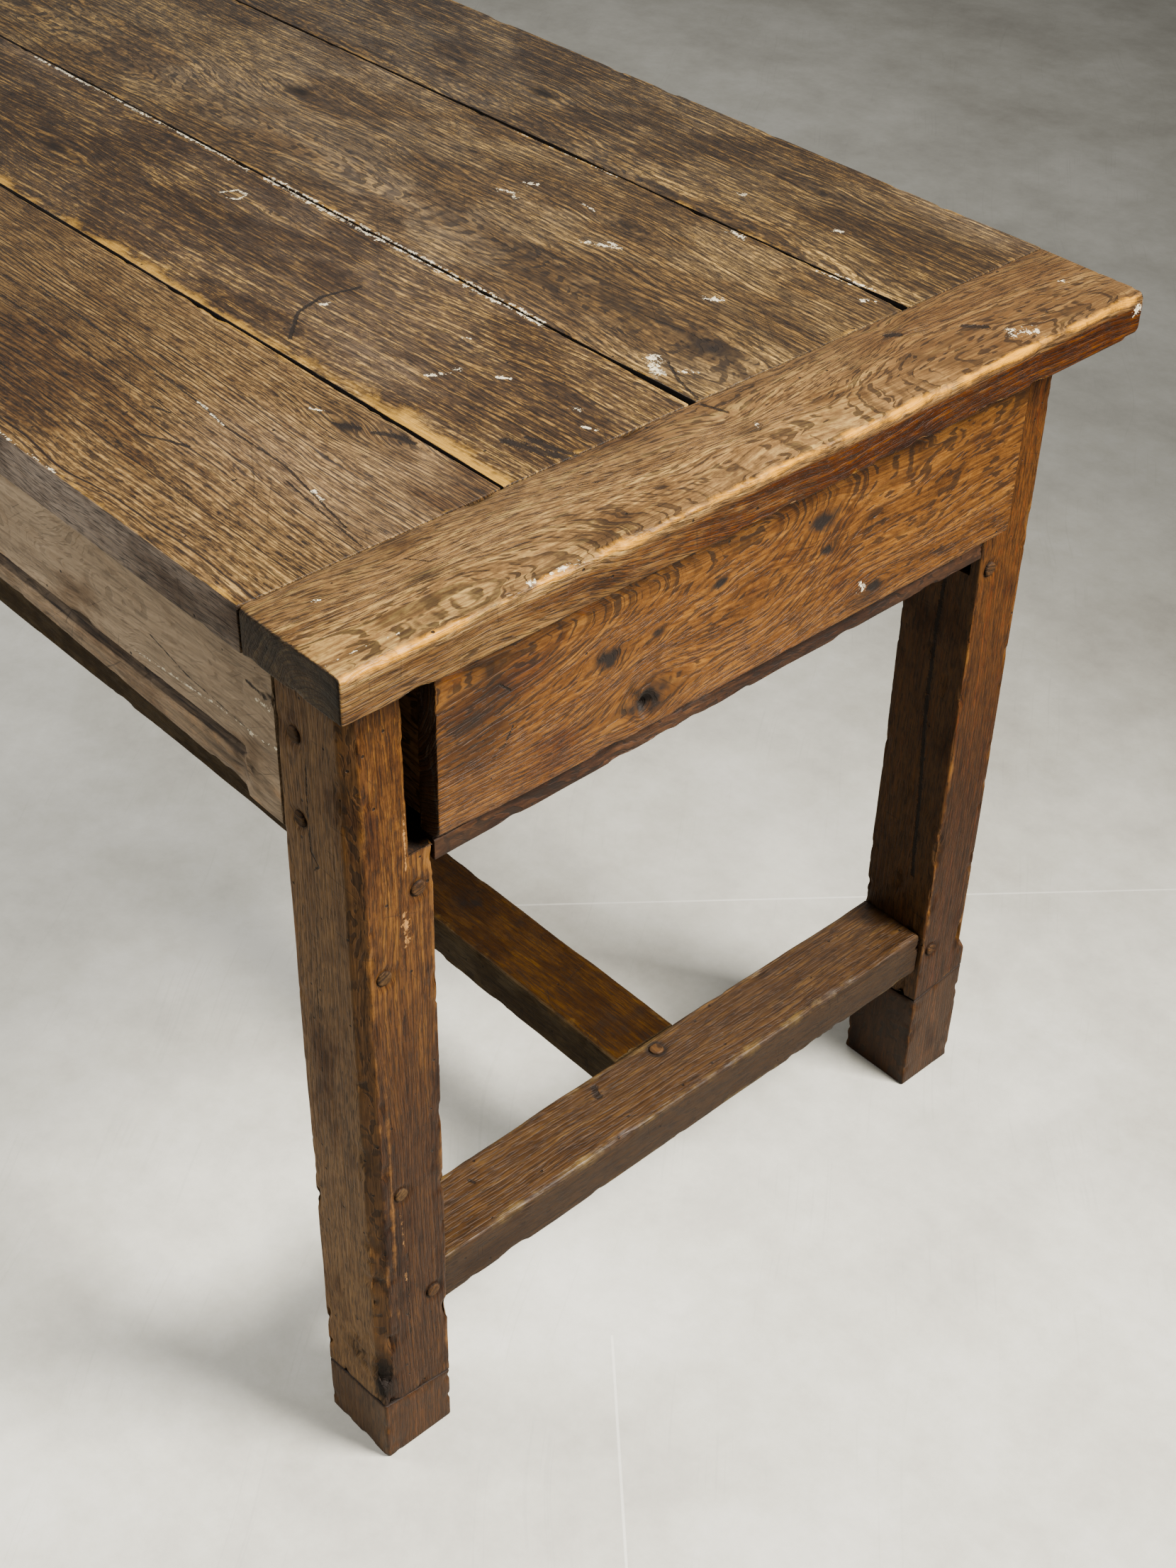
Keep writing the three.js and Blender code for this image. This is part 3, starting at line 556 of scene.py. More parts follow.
def grain_group():
    """Ring = distance from the pith line / ring width; its fraction is the place within one year.

    Dashes and pores are noises asked at (along, ring number, deep), so they lie along the rings."""
    tree, bench, take, give = new_group(
        "oak grain", ["Place"],
        {"Bend": 0.0, "Rise": 0.0, "Ring Width": 0.004, "Pith Deep": 0.1, "Pith Aside": 0.0, "Slope": 0.02,
         "Late": 0.48, "Whole": 0.0, "Seed": 0.0},
        ["Line", "Year", "Fibre", "Streak", "Fleck", "Pore", "Height"])
    shift = bench.scaled((3.17, 1.73, 2.39), take["Seed"])
    place = bench.vector("ADD", take["Place"], shift)
    sway = bench.noise(bench.stretched(place, SWAY_SCALE), detail=2, answer="Color")
    sway = bench.stretched(bench.vector("SUBTRACT", sway, HALF), SWAY)
    ripple = bench.noise(bench.stretched(place, RIPPLE_SCALE), detail=2, answer="Color")
    ripple = bench.stretched(bench.vector("SUBTRACT", ripple, HALF), RIPPLE)
    moved = bench.vector("ADD", take["Place"], bench.vector("ADD", sway, ripple))
    x, y, z = bench.split(moved)
    across = bench.plus(bench.plus(y, take["Bend"]), take["Pith Aside"])
    deep = bench.plus(bench.plus(z, take["Pith Deep"]), bench.times(x, take["Slope"]))
    deep = bench.plus(deep, take["Rise"])
    squares = bench.plus(bench.times(across, across), bench.times(deep, deep))
    rings = bench.math("DIVIDE", bench.math("SQRT", squares), take["Ring Width"])
    year = bench.math("FLOOR", rings)
    part = bench.math("FRACT", rings)
    late = bench.ease(part, take["Late"], bench.times_plus(take["Late"], 0.5, 0.48))
    turn = bench.ease(part, 0.94, 1.0, 1.0, 0.0)
    ring = bench.times(late, turn)
    tone = bench.add("ShaderNodeTexWhiteNoise", [("W", year)], noise_dimensions="1D").outputs["Value"]
    along_rings = bench.vector("ADD", bench.joined(x, rings, deep), shift)
    dashes = bench.noise(bench.stretched(along_rings, DASH_SCALE), detail=2, rough=0.6)
    strength = bench.times_plus(tone, 0.7, 0.4)
    dashes = bench.times_plus(take["Whole"], 0.2, dashes)
    line = bench.times(bench.times(ring, strength), bench.ease(dashes, 0.38, 0.5))
    flat = bench.plus(z, take["Pith Deep"])
    fibre_place = bench.vector("ADD", bench.joined(x, across, flat), shift)
    fibre = bench.noise(bench.stretched(fibre_place, FIBRE_SCALE), detail=2, rough=0.6)
    streak = bench.noise(bench.stretched(fibre_place, STREAK_SCALE), detail=3, rough=0.6)
    fleck = bench.noise(bench.stretched(fibre_place, FLECK_SCALE), detail=3, rough=0.7)
    pores = bench.noise(bench.stretched(along_rings, PORE_SCALE), detail=1)
    early = bench.minus(1.1, bench.times(ring, 0.5))
    pore = bench.times(bench.ease(pores, 0.53, 0.62), early, clamp=True)
    height = bench.times_plus(line, -0.6, fibre)
    height = bench.times_plus(pore, -0.5, height)
    for label, value in (("Line", line), ("Year", tone), ("Fibre", fibre), ("Streak", streak),
                         ("Fleck", fleck), ("Pore", pore), ("Height", height)):
        bench.feed(give[label], value)
    return tree


GRAIN = grain_group()
print("grain group:", len(GRAIN.nodes), "nodes")

# %% [markdown]
# ### Stains, worm holes, scratches, rubbed arrises and strokes
#
# These are the marks of use. A stain is a layered noise cut at a level. A worm hole is the middle of a
# cell of a Voronoi pattern, kept only in a few cells. A scratch is a noise drawn out to a hair and turned
# across the grain. A stroke is a mark at one known place, such as a crack or a smear of filler: the
# distance to a short line, with a ragged edge.

# %% Mark groups
def stain_group():
    """Layered noise over a level, with a soft rim."""
    tree, bench, take, give = new_group(
        "stain", ["Place"], {"Size": 0.1, "Level": 0.55, "Rim": 0.06, "Seed": 0.0})
    place = bench.own_place(take, (1.31, 2.77, 1.93))
    place = bench.scaled(place, bench.math("DIVIDE", 1.0, take["Size"]))
    value = bench.noise(place, detail=6, rough=0.62)
    low = bench.minus(take["Level"], take["Rim"])
    high = bench.plus(take["Level"], take["Rim"])
    bench.feed(give["Mask"], bench.ease(value, low, high))
    return tree


def worm_group():
    """Round dots at the middles of those cells whose random value is over the level, in loose clusters."""
    tree, bench, take, give = new_group(
        "worm holes", ["Place"], {"Cell": 0.011, "Level": 0.7, "Seed": 0.0})
    place = bench.own_place(take, (0.71, 0.37, 0.53))
    feeds = [("Vector", bench.scaled(place, bench.math("DIVIDE", 1.0, take["Cell"]))), ("Scale", 1.0)]
    cells = bench.add("ShaderNodeTexVoronoi", feeds, voronoi_dimensions="3D", feature="F1")
    dot = bench.ease(cells.outputs["Distance"], 0.07, 0.12, 1.0, 0.0)
    chosen = bench.split(cells.outputs["Color"])[0]
    cluster = bench.noise(bench.scaled(place, 16.0), detail=1)
    chance = bench.times_plus(cluster, 0.9, bench.minus(chosen, 0.45))
    bench.feed(give["Mask"], bench.times(dot, bench.math("GREATER_THAN", chance, take["Level"])))
    return tree


def scratch_group():
    """Hair lines: a noise stretched 200 to 1 along a turned direction, broken up by a slower noise."""
    tree, bench, take, give = new_group(
        "scratches", ["Place"], {"Turn": 0.5, "Level": 0.68, "Seed": 0.0})
    place = bench.own_place(take, (0.9, 1.1, 0.0))
    feeds = [("Vector", place), ("Angle", take["Turn"])]
    turned = bench.add("ShaderNodeVectorRotate", feeds, rotation_type="Z_AXIS").outputs[0]
    wander = bench.noise(bench.scaled(turned, 7.0), detail=1)
    x, y, z = bench.split(turned)
    y = bench.times_plus(wander, 0.03, y)
    lines = bench.noise(bench.stretched(bench.joined(x, y, z), (5.0, 640.0, 40.0)), detail=1)
    parts = bench.noise(bench.scaled(turned, 23.0), detail=2)
    line = bench.ease(lines, take["Level"], bench.plus(take["Level"], 0.05))
    bench.feed(give["Mask"], bench.times(line, bench.ease(parts, 0.48, 0.6)))
    return tree


def rub_group():
    """The painted wear with a noisy rim, so that a rubbed arris fades out in flecks."""
    tree, bench, take, give = new_group(
        "rubbed arris", ["Place"], {"Wear": 0.0, "Seed": 0.0})
    place = bench.own_place(take, (0.41, 0.83, 0.29))
    coarse = bench.noise(bench.scaled(place, 38.0), detail=5, rough=0.7)
    value = bench.times_plus(bench.minus(coarse, 0.5), 1.5, take["Wear"])
    bench.feed(give["Mask"], bench.ease(value, 0.35, 0.85))
    return tree


def stroke_group():
    """1 on a short line from Start to End: distance to the nearest point of the line, with a ragged rim.

    Rag is a noise from -1 to 1, made once for all the strokes of a material."""
    tree, bench, take, give = new_group(
        "stroke", ["Place", "Start", "End"], {"Width": 0.002, "Rag": 0.0})
    line = bench.vector("SUBTRACT", take["End"], take["Start"])
    point = bench.vector("SUBTRACT", take["Place"], take["Start"])
    square = bench.larger(bench.vector("DOT_PRODUCT", line, line, answer="Value"), 1e-9)
    run = bench.vector("DOT_PRODUCT", point, line, answer="Value")
    share = bench.math("DIVIDE", run, square, clamp=True)
    apart = bench.vector("SUBTRACT", point, bench.scaled(line, share))
    distance = bench.vector("LENGTH", apart, answer="Value")
    width = bench.times(take["Width"], bench.larger(bench.plus(1.0, take["Rag"]), 0.02))
    bench.feed(give["Mask"], bench.ease(distance, bench.times(width, 0.45), width, 1.0, 0.0))
    return tree


STAIN, WORM, SCRATCH, RUB, STROKE = stain_group(), worm_group(), scratch_group(), rub_group(), stroke_group()
print("mark groups:", ", ".join(tree.name for tree in (STAIN, WORM, SCRATCH, RUB, STROKE)))

# %% [markdown]
# ### One oak for every board
#
# Each board has its own piece of oak: its own place in the log, its own colours and its own marks. The
# function below takes the coat as plain values, turns the board so that its length lies along X and its
# main face up along Z, and lays the groups over each other: rings and fibres give the colour, then grey
# dryness, grime, dirt and painted shade, scratches, cracks and filler, and last the rubbed arrises.

# %% The oak material
TURNS = {
    "x up": Matrix(((1, 0, 0), (0, 1, 0), (0, 0, 1))),
    "y up": Matrix(((0, 1, 0), (-1, 0, 0), (0, 0, 1))),
    "x side": Matrix(((1, 0, 0), (0, 0, -1), (0, 1, 0))),
    "y side": Matrix(((0, 1, 0), (0, 0, 1), (1, 0, 0))),
    "z side": Matrix(((0, 0, 1), (0, 1, 0), (-1, 0, 0))),
}


def colour(red, green, blue):
    """A colour as the screen shows it, 0 to 255, turned into the linear values that the shader wants."""
    share = np.array([red, green, blue]) / 255.0
    linear = np.where(share <= 0.04045, share / 12.92, ((share + 0.055) / 1.055) ** 2.4)
    return (float(linear[0]), float(linear[1]), float(linear[2]), 1.0)


PLAIN_COAT = dict(
    light=(172, 124, 70), middle=(122, 82, 46), dark=(52, 33, 20), grey=(112, 98, 80), grime=(150, 132, 112),
    rub=(214, 158, 84), pale=(176, 166, 142), dirt=(14, 9, 6), soot=(116, 100, 90),
    ring_width=0.0034, deep=0.09, aside=0.01, slope=0.03, late=0.48, whole=0.3,
    line_share=0.85, fibre_share=0.55, streak_share=0.12, fleck_share=0.35, year_share=0.25, pore_share=0.75,
    stain_size=0.12, stain_level=0.56, stain_share=0.75, fine_level=0.57, fine_share=0.55,
    worm_level=0.86, scratch_level=0.66, scratch_share=0.5, roughness=0.5, gloss=0.25, relief=0.5 * MM)


def oak(name, turn, centre, seed, cracks=(), smears=(), **changes):
    """One board's oak. cracks and smears are strokes (start, end, width) in metres, dark and pale."""
    values = {**PLAIN_COAT, **changes}
    coat = SimpleNamespace(**{key: colour(*v) if isinstance(v, tuple) else v for key, v in values.items()})
    material = bpy.data.materials.new(name)
    material.use_nodes = True
    bench = Bench(material.node_tree)
    shader = material.node_tree.nodes["Principled BSDF"]
    here = bench.add("ShaderNodeTexCoord").outputs["Object"]
    matrix = TURNS[turn]
    mapping = bench.add("ShaderNodeMapping", [("Vector", here)])
    mapping.inputs["Location"].default_value = -(matrix @ Vector(centre))
    mapping.inputs["Rotation"].default_value = matrix.to_euler()
    place = mapping.outputs[0]
    paint = {label: bench.add("ShaderNodeAttribute", attribute_name=label).outputs["Fac"] for label in PAINTS}

    grain = bench.group(GRAIN, {
        "Place": place, "Bend": paint["bend"], "Rise": paint["rise"], "Ring Width": coat.ring_width,
        "Pith Deep": coat.deep, "Pith Aside": coat.aside, "Slope": coat.slope, "Late": coat.late,
        "Whole": coat.whole, "Seed": float(seed)})
    fine = bench.group(STAIN, {
        "Place": bench.stretched(place, (1.0, 2.4, 2.4)), "Size": 0.02, "Level": coat.fine_level, "Rim": 0.09,
        "Seed": seed + 0.5})["Mask"]
    broad = bench.group(STAIN, {
        "Place": bench.stretched(place, (1.0, 1.9, 1.9)), "Size": coat.stain_size, "Level": coat.stain_level,
        "Rim": 0.07, "Seed": float(seed)})["Mask"]
    worm = bench.group(WORM, {"Place": place, "Level": coat.worm_level, "Seed": float(seed)})["Mask"]
    scratch_one, scratch_two = (
        bench.group(SCRATCH, {"Place": place, "Turn": turn, "Level": level, "Seed": own_seed})["Mask"]
        for turn, level, own_seed in ((0.6, coat.scratch_level, float(seed)),
                                      (1.25, coat.scratch_level + 0.02, seed + 3.0)))
    rub = bench.group(RUB, {"Place": place, "Wear": paint["wear"], "Seed": float(seed)})["Mask"]

    tone = 0.5
    for label, share in (("Fibre", 2.6 * coat.fibre_share), ("Streak", 2.6 * coat.streak_share),
                         ("Fleck", 2.6 * coat.fleck_share), ("Year", coat.year_share)):
        part = bench.times(bench.minus(grain[label], 0.5), share)
        tone = bench.plus(tone, part)
    wood = bench.ramp(tone, ((0.05, coat.dark), (0.5, coat.middle), (0.92, coat.light)))
    wood = bench.mix(bench.times(grain["Line"], coat.line_share), wood, coat.dark)

    grey_part = bench.times(paint["grey"], bench.ease(grain["Streak"], 0.3, 0.7, 0.7, 1.0))
    dry = bench.mix(bench.times_plus(tone, 0.9, 0.1), bench.mix(0.5, coat.grey, coat.dirt), coat.grey)
    wood = bench.mix(grey_part, wood, dry)
    wood = bench.mix(bench.times(broad, coat.stain_share), wood, coat.grime, "MULTIPLY")
    wood = bench.mix(bench.times(fine, coat.fine_share), wood, coat.grime, "MULTIPLY")
    placed = bench.times_plus(bench.minus(grain["Fleck"], 0.5), 0.9, paint["stain"])
    wood = bench.mix(bench.ease(placed, 0.05, 1.0), wood, coat.soot, "MULTIPLY")
    pore = bench.times(grain["Pore"], coat.pore_share)
    wood = bench.mix(pore, wood, coat.dirt)
    rub_tone = bench.mix(bench.times(tone, 0.8), bench.mix(0.35, coat.rub, coat.dark), coat.rub)
    wood = bench.mix(bench.times(rub, 0.85), wood, rub_tone)
    # The painted dark value is dirt, plus painted shade on undersides, inner faces and in recesses. It
    # darkens the wood towards the darkest coat colour.
    dirt = bench.times_plus(bench.minus(grain["Fibre"], 0.5), 0.8, paint["dark"])
    dirt = bench.times(bench.ease(dirt, 0.12, 0.85),
                       bench.math("MINIMUM", bench.times(paint["dark"], 3.0), 1.0))
    wood = bench.mix(dirt, wood, coat.dirt)
    scratches = bench.times(bench.larger(scratch_one, scratch_two), coat.scratch_share)
    wood = bench.mix(scratches, wood, coat.dirt)

    def stroked(held, strokes, rag):
        for start, end, width in strokes:
            feeds = {"Place": here, "Start": start, "End": end, "Width": width, "Rag": rag}
            mask = bench.group(STROKE, feeds)["Mask"]
            held = mask if held is None else bench.larger(held, mask)
        return held

    little = much = None
    if cracks or smears:
        ragged = bench.noise(bench.scaled(here, 210.0), detail=3, rough=0.75)
        little = bench.times_plus(ragged, 3.0, -1.5)
        much = bench.times_plus(ragged, 9.0, -5.0)
    holes = stroked(worm, cracks, little)
    filler = stroked(None, smears, much)
    wood = bench.mix(bench.times(holes, 0.92), wood, coat.dirt)
    if filler is not None:
        filler = bench.times(filler, bench.ease(grain["Fleck"], 0.36, 0.56, 0.25, 0.85))
        wood = bench.mix(filler, wood, coat.pale)

    height = bench.minus(grain["Height"], bench.times(holes, 1.6))
    height = bench.minus(height, bench.times(scratches, 0.5))
    bump = bench.add("ShaderNodeBump", [("Height", height), ("Distance", coat.relief), ("Strength", 0.9)])
    rough = bench.times_plus(grain["Fibre"], -0.16, coat.roughness + 0.08)
    rough = bench.times_plus(broad, 0.1, rough)
    rough = bench.times_plus(rub, -0.12, rough)
    rough = bench.times_plus(dirt, 0.25, rough)
    rough = bench.times_plus(grey_part, 0.12, rough, clamp=True)
    bench.feed(shader.inputs["Base Color"], wood)
    bench.feed(shader.inputs["Roughness"], rough)
    bench.feed(shader.inputs["Normal"], bump.outputs[0])
    shader.inputs["Specular IOR Level"].default_value = coat.gloss
    return material


print("an oak coat has", len(PLAIN_COAT), "values")

# %% [markdown]
# ## Places taken from the frame
#
# The boards meet where the joints' shoulders are. A CAD box also holds the hidden tenons, so a board's
# length is taken from the pieces that it meets: a rail runs between the two legs, a plank between the
# two breadboards.

# %% Places
SEAT = 0.3 * MM
APRON_THICK = 26 * MM


def box(node):
    """A node's lowest and highest corner as two arrays."""
    low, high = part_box(node)
    return np.array(low, dtype=float), np.array(high, dtype=float)


def middle(low, high):
    return (low + high) / 2


def face_at(axis, where):
    """A function that makes a place in metres of two millimetre values on a face square to the axis."""
    def put(first, second):
        place = [first * MM, second * MM]
        place.insert("xyz".index(axis), where)
        return tuple(place)
    return put


def strokes(put, *rows):
    """Strokes from rows of a width and points, all in millimetres: one from each point to the next."""
    found = []
    for width, *points in rows:
        placed = [put(*point) for point in points]
        found += [(a, b, width * MM) for a, b in zip(placed[:-1], placed[1:])]
    return found


def arris_size(size, spread, seed):
    """An arris radius that wanders along the board round its middle value."""
    def radius(along):
        spots = np.stack([along, np.zeros_like(along), np.zeros_like(along)], axis=1)
        return size * (1 + spread * layered(spots, 0.05, seed))
    return radius


leg_low, leg_high = box("leg_front_left")
OUTER_X, OUTER_Y = leg_high[0], -leg_low[1]
INNER_X, INNER_Y = leg_low[0], -leg_high[1]
LEG_DEPTH, LEG_WIDTH = OUTER_X - INNER_X, OUTER_Y - INNER_Y
FRAME_TOP = leg_high[2]
BOARD_INNER_X, OUTER_BOARD_X = (corner[0] for corner in box("breadboard_drawer_end"))
TOP_HALF_WIDTH = box("breadboard_drawer_end")[1][1]
TOP_LOW, TOP_HIGH = box("top_plank_near")[0][2], box("top_plank_near")[1][2]
RAIL_LOW, RAIL_HIGH = box("drawer_rail")
PLANK_NAMES = ("near", "second", "third", "far")
plank_boxes = [box("top_plank_" + name) for name in PLANK_NAMES]
JOINTS_Y = [(a[1][1] + b[0][1]) / 2 for a, b in zip(plank_boxes, plank_boxes[1:])]
on_top = face_at("z", TOP_HIGH)
on_end = face_at("x", OUTER_X)
on_near_side = face_at("y", -OUTER_Y)
on_right_inner = face_at("y", INNER_Y)
print("legs", [round(v * 1000, 1) for v in (OUTER_X, INNER_X, OUTER_Y, INNER_Y)],
      "plank joints", [round(y * 1000, 1) for y in JOINTS_Y])

# %% [markdown]
# ## The plank top
#
# Four planks lie side by side. The joints were tight once; the wood has shrunk, one joint is a clean dark
# line, one is packed with old filler and gapes at its end, one is half closed. So each plank edge is set
# back by its own amount at every station. The knots push the grain aside and carry dirt.

# %% Planks
PLANK_SPACING = 4.6 * MM


def gap_even(along):
    """A joint that has opened evenly, about 0.75 mm on each side and a little less here and there."""
    return (0.75 + 0.25 * np.sin(along * 19.0) + 0.15 * np.sin(along * 53.0 + 1.0)) * MM


def gap_gaping(along):
    """A packed joint that gapes over its last 90 mm at the drawer end."""
    return (0.35 + 2.2 * smooth((along - 0.815) / 0.07) + 0.2 * np.sin(along * 41.0)) * MM


def gap_half_closed(along):
    """A joint that is open in two short stretches and closed between."""
    first = smooth((along - 0.40) / 0.05) * smooth((0.60 - along) / 0.05)
    second = smooth((along - 0.86) / 0.03)
    return (0.35 + 0.9 * first + 1.2 * second + 0.2 * np.sin(along * 37.0)) * MM


def closed_edge(along):
    """The outer edge of the top."""
    return np.zeros(len(along))


def plank(name, seed, material, gaps, arrises, rubbed_edge, knots, stains):
    """One plank. The rubbed edge is a place across the table, its reach in millimetres and its strength."""
    node = "top_plank_" + name
    low, high = box(node)
    half = BOARD_INNER_X - SEAT
    section = plain_section(
        lambda s: low[1] + gaps[0](s), lambda s: high[1] - gaps[1](s), TOP_LOW, TOP_HIGH,
        (1.5 * MM, 1.5 * MM, arris_size(arrises[1] * MM, 0.5, seed),
         arris_size(arrises[0] * MM, 0.5, seed + 5)))
    steps = (16, 9, int((high[1] - low[1]) / (2.3 * MM)), 9)
    w = Worn(seed, *swept("x", -half, half, PLANK_SPACING, section, steps, arris=1.2 * MM))
    up, under = w.faces(0, 0, 1), w.faces(0, 0, -1)
    side = w.faces(0, -1, 0) + w.faces(0, 1, 0)
    w.wave((0.16, 0.05, 0.05), 0.5)
    w.wave((0.05, 0.012, 0.02), 0.22, 2)
    w.bite((0.022, 0.01, 0.01), 1.1, 9, 0.2)
    w.grain(0.004, (0.3, 0.08, 0.08), 0.012, (0.22, 0.2, 0.2))
    # The underside is painted darker as shade.
    w.paint("dark", 0.12 * under)
    w.paint("dark", 0.97 * side * (np.abs(w.y) < TOP_HALF_WIDTH - 5 * MM))
    for row in knots:
        core = w.knot((0, 1), *row)
        w.paint("dark", 0.75 * core)
        w.depth += 0.5 * MM * core * up
    end_dirt = 0.45 * np.exp(-(half - np.abs(w.x)) / (7 * MM))
    w.paint("dark", end_dirt * (0.6 + 0.4 * w.noise(0.02, 30)))
    w.paint("wear", w.near * (0.35 + 0.45 * w.noise((0.07, 0.02, 0.02), 40)) * up)
    edge, reach, strength = rubbed_edge
    band = np.exp(-np.abs(w.y - edge) / (reach * MM)) * up
    w.paint("wear", strength * band * (0.75 + 0.5 * w.noise((0.12, 0.02, 0.02), 50)))
    w.paint("grey", 0.9 * side + 0.5 * under)
    w.paint("grey", 0.16 * up * smooth((w.noise((0.3, 0.12, 0.1), 60) + 0.05) * 1.5))
    spots = [(on_top(x, y), (long, wide, PATCH_DEPTH), strength) for x, y, long, wide, strength in stains]
    w.paint("stain", w.stains(spots) * up)
    # The plank sides are painted darker towards the drawer end.
    w.paint("stain", 0.3 * side * smooth((w.worn()[..., 0] - 0.55) / 0.3))
    return w.finish(node, material)


print("a plank's points are", PLANK_SPACING * 1000, "mm apart")

# %% [markdown]
# ### The marks on the planks
#
# Each row is one crack, scratch or smear of paint: its width, and the points on the top that it runs
# through, in millimetres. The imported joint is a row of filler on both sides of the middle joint.

# %% Cracks and smears of the planks
PACKED = [(128, -3), (180, -3), (235, -2), (290, -3), (324, -2), (380, -2), (431, -3)]
PACKED_ON = [(452, -1.5), (500, -3), (531, -2), (590, -3), (633, -2), (665, -2),
             (700, -3), (742, -2), (764, -3)]
NEAR_CRACKS = strokes(
    on_top, (1.1, (500, -226), (593, -231), (650, -234), (704, -237), (742, -242), (802, -242), (882, -257)),
    (0.9, (818, -252), (862, -258), (906, -263)), (1.6, (716, -286), (731, -279), (746, -273)),
    (1.4, (690, -262), (704, -258)), (2.4, (780, -188), (796, -180)),
    (3.0, (806, -176), (820, -168), (832, -166)))
NEAR_SMEARS = strokes(
    on_top, (1.2, (704, -236.5), (722, -239.5), (740, -242)),
    (1.2, (440, -350), (560, -351), (640, -350.4), (720, -351)), (2.0, (838, -247), (848, -249)),
    (1.5, (752, -190), (764, -184)))
SECOND_CRACKS = strokes(
    on_top, (2.0, (672, -142), (645, -115), (637, -89), (642, -60)),
    (4.5, (866, -122), (884, -116), (907, -107)), (3.0, (872, -109), (890, -106), (907, -100)))
SECOND_SMEARS = strokes(
    on_top, (2.2, (646, -96), (648, -93)), (1.8, (745, -54), (750, -51)), (2.4, (775, -86), (777, -84)),
    (2.6, (775, -96), (778, -94)), (2.0, (770, -105), (773, -102)), (1.8, (801, -72), (809, -67)),
    (2.0, (861, -64), (867, -61)), (1.3, (884, -74), (893, -70)),
    (1.4, (452, -42), (457, -30), (468, -30), (470, -40), (460, -46)), (2.0, *PACKED), (2.5, *PACKED_ON))
THIRD_CRACKS = strokes(on_top, (1.6, (858, 26), (880, 14), (906, 6)), (0.9, (800, 60), (840, 66), (868, 62)))
THIRD_SMEARS = strokes(
    on_top, (1.6, *((x, 2.2) for x, _ in PACKED_ON)), (5.0, (848, 22), (858, 14), (866, 12)),
    (3.0, (872, 24), (880, 30)), (2.6, (580, 118), (592, 124), (598, 119)), (3.6, (690, 108), (704, 114)),
    (2.6, (700, 120), (712, 118)), (3.0, (584, 142), (592, 146)), (4.0, (809, 111), (817, 116)),
    (1.4, (640, 150), (655, 148)), (3.6, (746, 201), (757, 199)), (1.1, (500, 201), (560, 202), (620, 202)),
    (1.3, (824, 201), (846, 202), (860, 202)), (2.6, (880, 190), (888, 196)))
FAR_SMEARS = strokes(
    on_top, (1.3, (840, 207), (880, 208)), (2.4, (700, 250), (706, 252)), (2.0, (792, 260), (797, 262)))
print(len(SECOND_SMEARS), "strokes of filler on the second plank")

# %% [markdown]
# ### The four planks
#
# A plank's row holds its two gaps, its two upper arrises in millimetres, its rubbed edge, its own oak, its
# marks, its knots (along, across, length, width, push) and its stains (along and across in millimetres,
# length, width, strength).

# %% Lay the planks
TOP_COAT = dict(
    light=(134, 105, 52), middle=(76, 54, 27), dark=(17, 9, 4), grey=(127, 113, 100), grime=(142, 122, 104),
    rub=(138, 102, 34), stain_size=0.13, stain_level=0.53, stain_share=0.65, ring_width=0.0031, whole=0.8,
    line_share=0.85, fine_share=0.5, fibre_share=0.5, fleck_share=0.45, late=0.56, worm_level=0.95,
    scratch_share=0.3, roughness=0.5, gloss=0.1)
EDGE_Y = 0.3525
PLANKS = {
    "near": (
        (closed_edge, gap_even), (1.6, 0.9), (-EDGE_Y, 8, 0.6),
        dict(deep=0.07, aside=0.15, slope=0.02, light=(114, 90, 50), middle=(80, 59, 30), stain_level=0.57,
             stain_size=0.2, stain_share=0.8, ring_width=0.0028, line_share=0.95,
             fibre_share=0.6, fleck_share=0.55),
        NEAR_CRACKS, NEAR_SMEARS,
        [(0.788, -0.186, 0.034, 0.016, 0.011), (0.824, -0.168, 0.03, 0.014, 0.012),
         (0.810, -0.216, 0.012, 0.007, 0.005), (0.793, -0.264, 0.010, 0.006, 0.004),
         (-0.22, -0.25, 0.03, 0.014, 0.01), (0.2, -0.3, 0.02, 0.01, 0.006)],
        [(250, -250, 0.36, 0.2, 0.45), (800, -178, 0.06, 0.02, 0.45), (560, -180, 0.09, 0.02, 0.3),
         (880, -200, 0.03, 0.06, 0.3)]),
    "second": (
        (gap_even, gap_gaping), (1.1, 1.2), (JOINTS_Y[0], 13, 1.35),
        dict(deep=0.07, aside=-0.13, stain_level=0.51, middle=(59, 43, 23)),
        SECOND_CRACKS, SECOND_SMEARS,
        [(0.51, -0.033, 0.016, 0.008, 0.006), (0.3, -0.09, 0.05, 0.02, 0.012),
         (-0.5, -0.1, 0.03, 0.012, 0.01)],
        [(560, -60, 0.16, 0.06, 0.4), (200, -90, 0.3, 0.1, 0.3), (730, -85, 0.1, 0.03, 0.3),
         (860, -60, 0.05, 0.04, 0.25)]),
    "third": (
        (gap_gaping, gap_half_closed), (1.4, 1.4), (JOINTS_Y[1], 5, 0.4),
        dict(deep=0.05, aside=0.05, slope=0.03, stain_level=0.48, middle=(73, 57, 33)),
        THIRD_CRACKS, THIRD_SMEARS,
        [(0.862, 0.062, 0.06, 0.03, 0.022), (0.69, 0.15, 0.03, 0.014, 0.01), (0.33, 0.12, 0.05, 0.02, 0.014),
         (-0.3, 0.05, 0.03, 0.014, 0.01)],
        [(700, 60, 0.14, 0.05, 0.4), (850, 120, 0.05, 0.05, 0.3), (420, 90, 0.14, 0.08, 0.35)]),
    "far": (
        (gap_half_closed, closed_edge), (1.4, 2.0), (EDGE_Y, 8, 0.6),
        dict(deep=0.08, aside=0.12, stain_level=0.5, middle=(63, 48, 26)), (), FAR_SMEARS,
        [(0.74, 0.3, 0.03, 0.015, 0.012), (0.46, 0.27, 0.05, 0.022, 0.014), (-0.6, 0.26, 0.03, 0.012, 0.01)],
        [(820, 290, 0.08, 0.05, 0.45), (500, 280, 0.3, 0.05, 0.35)]),
}
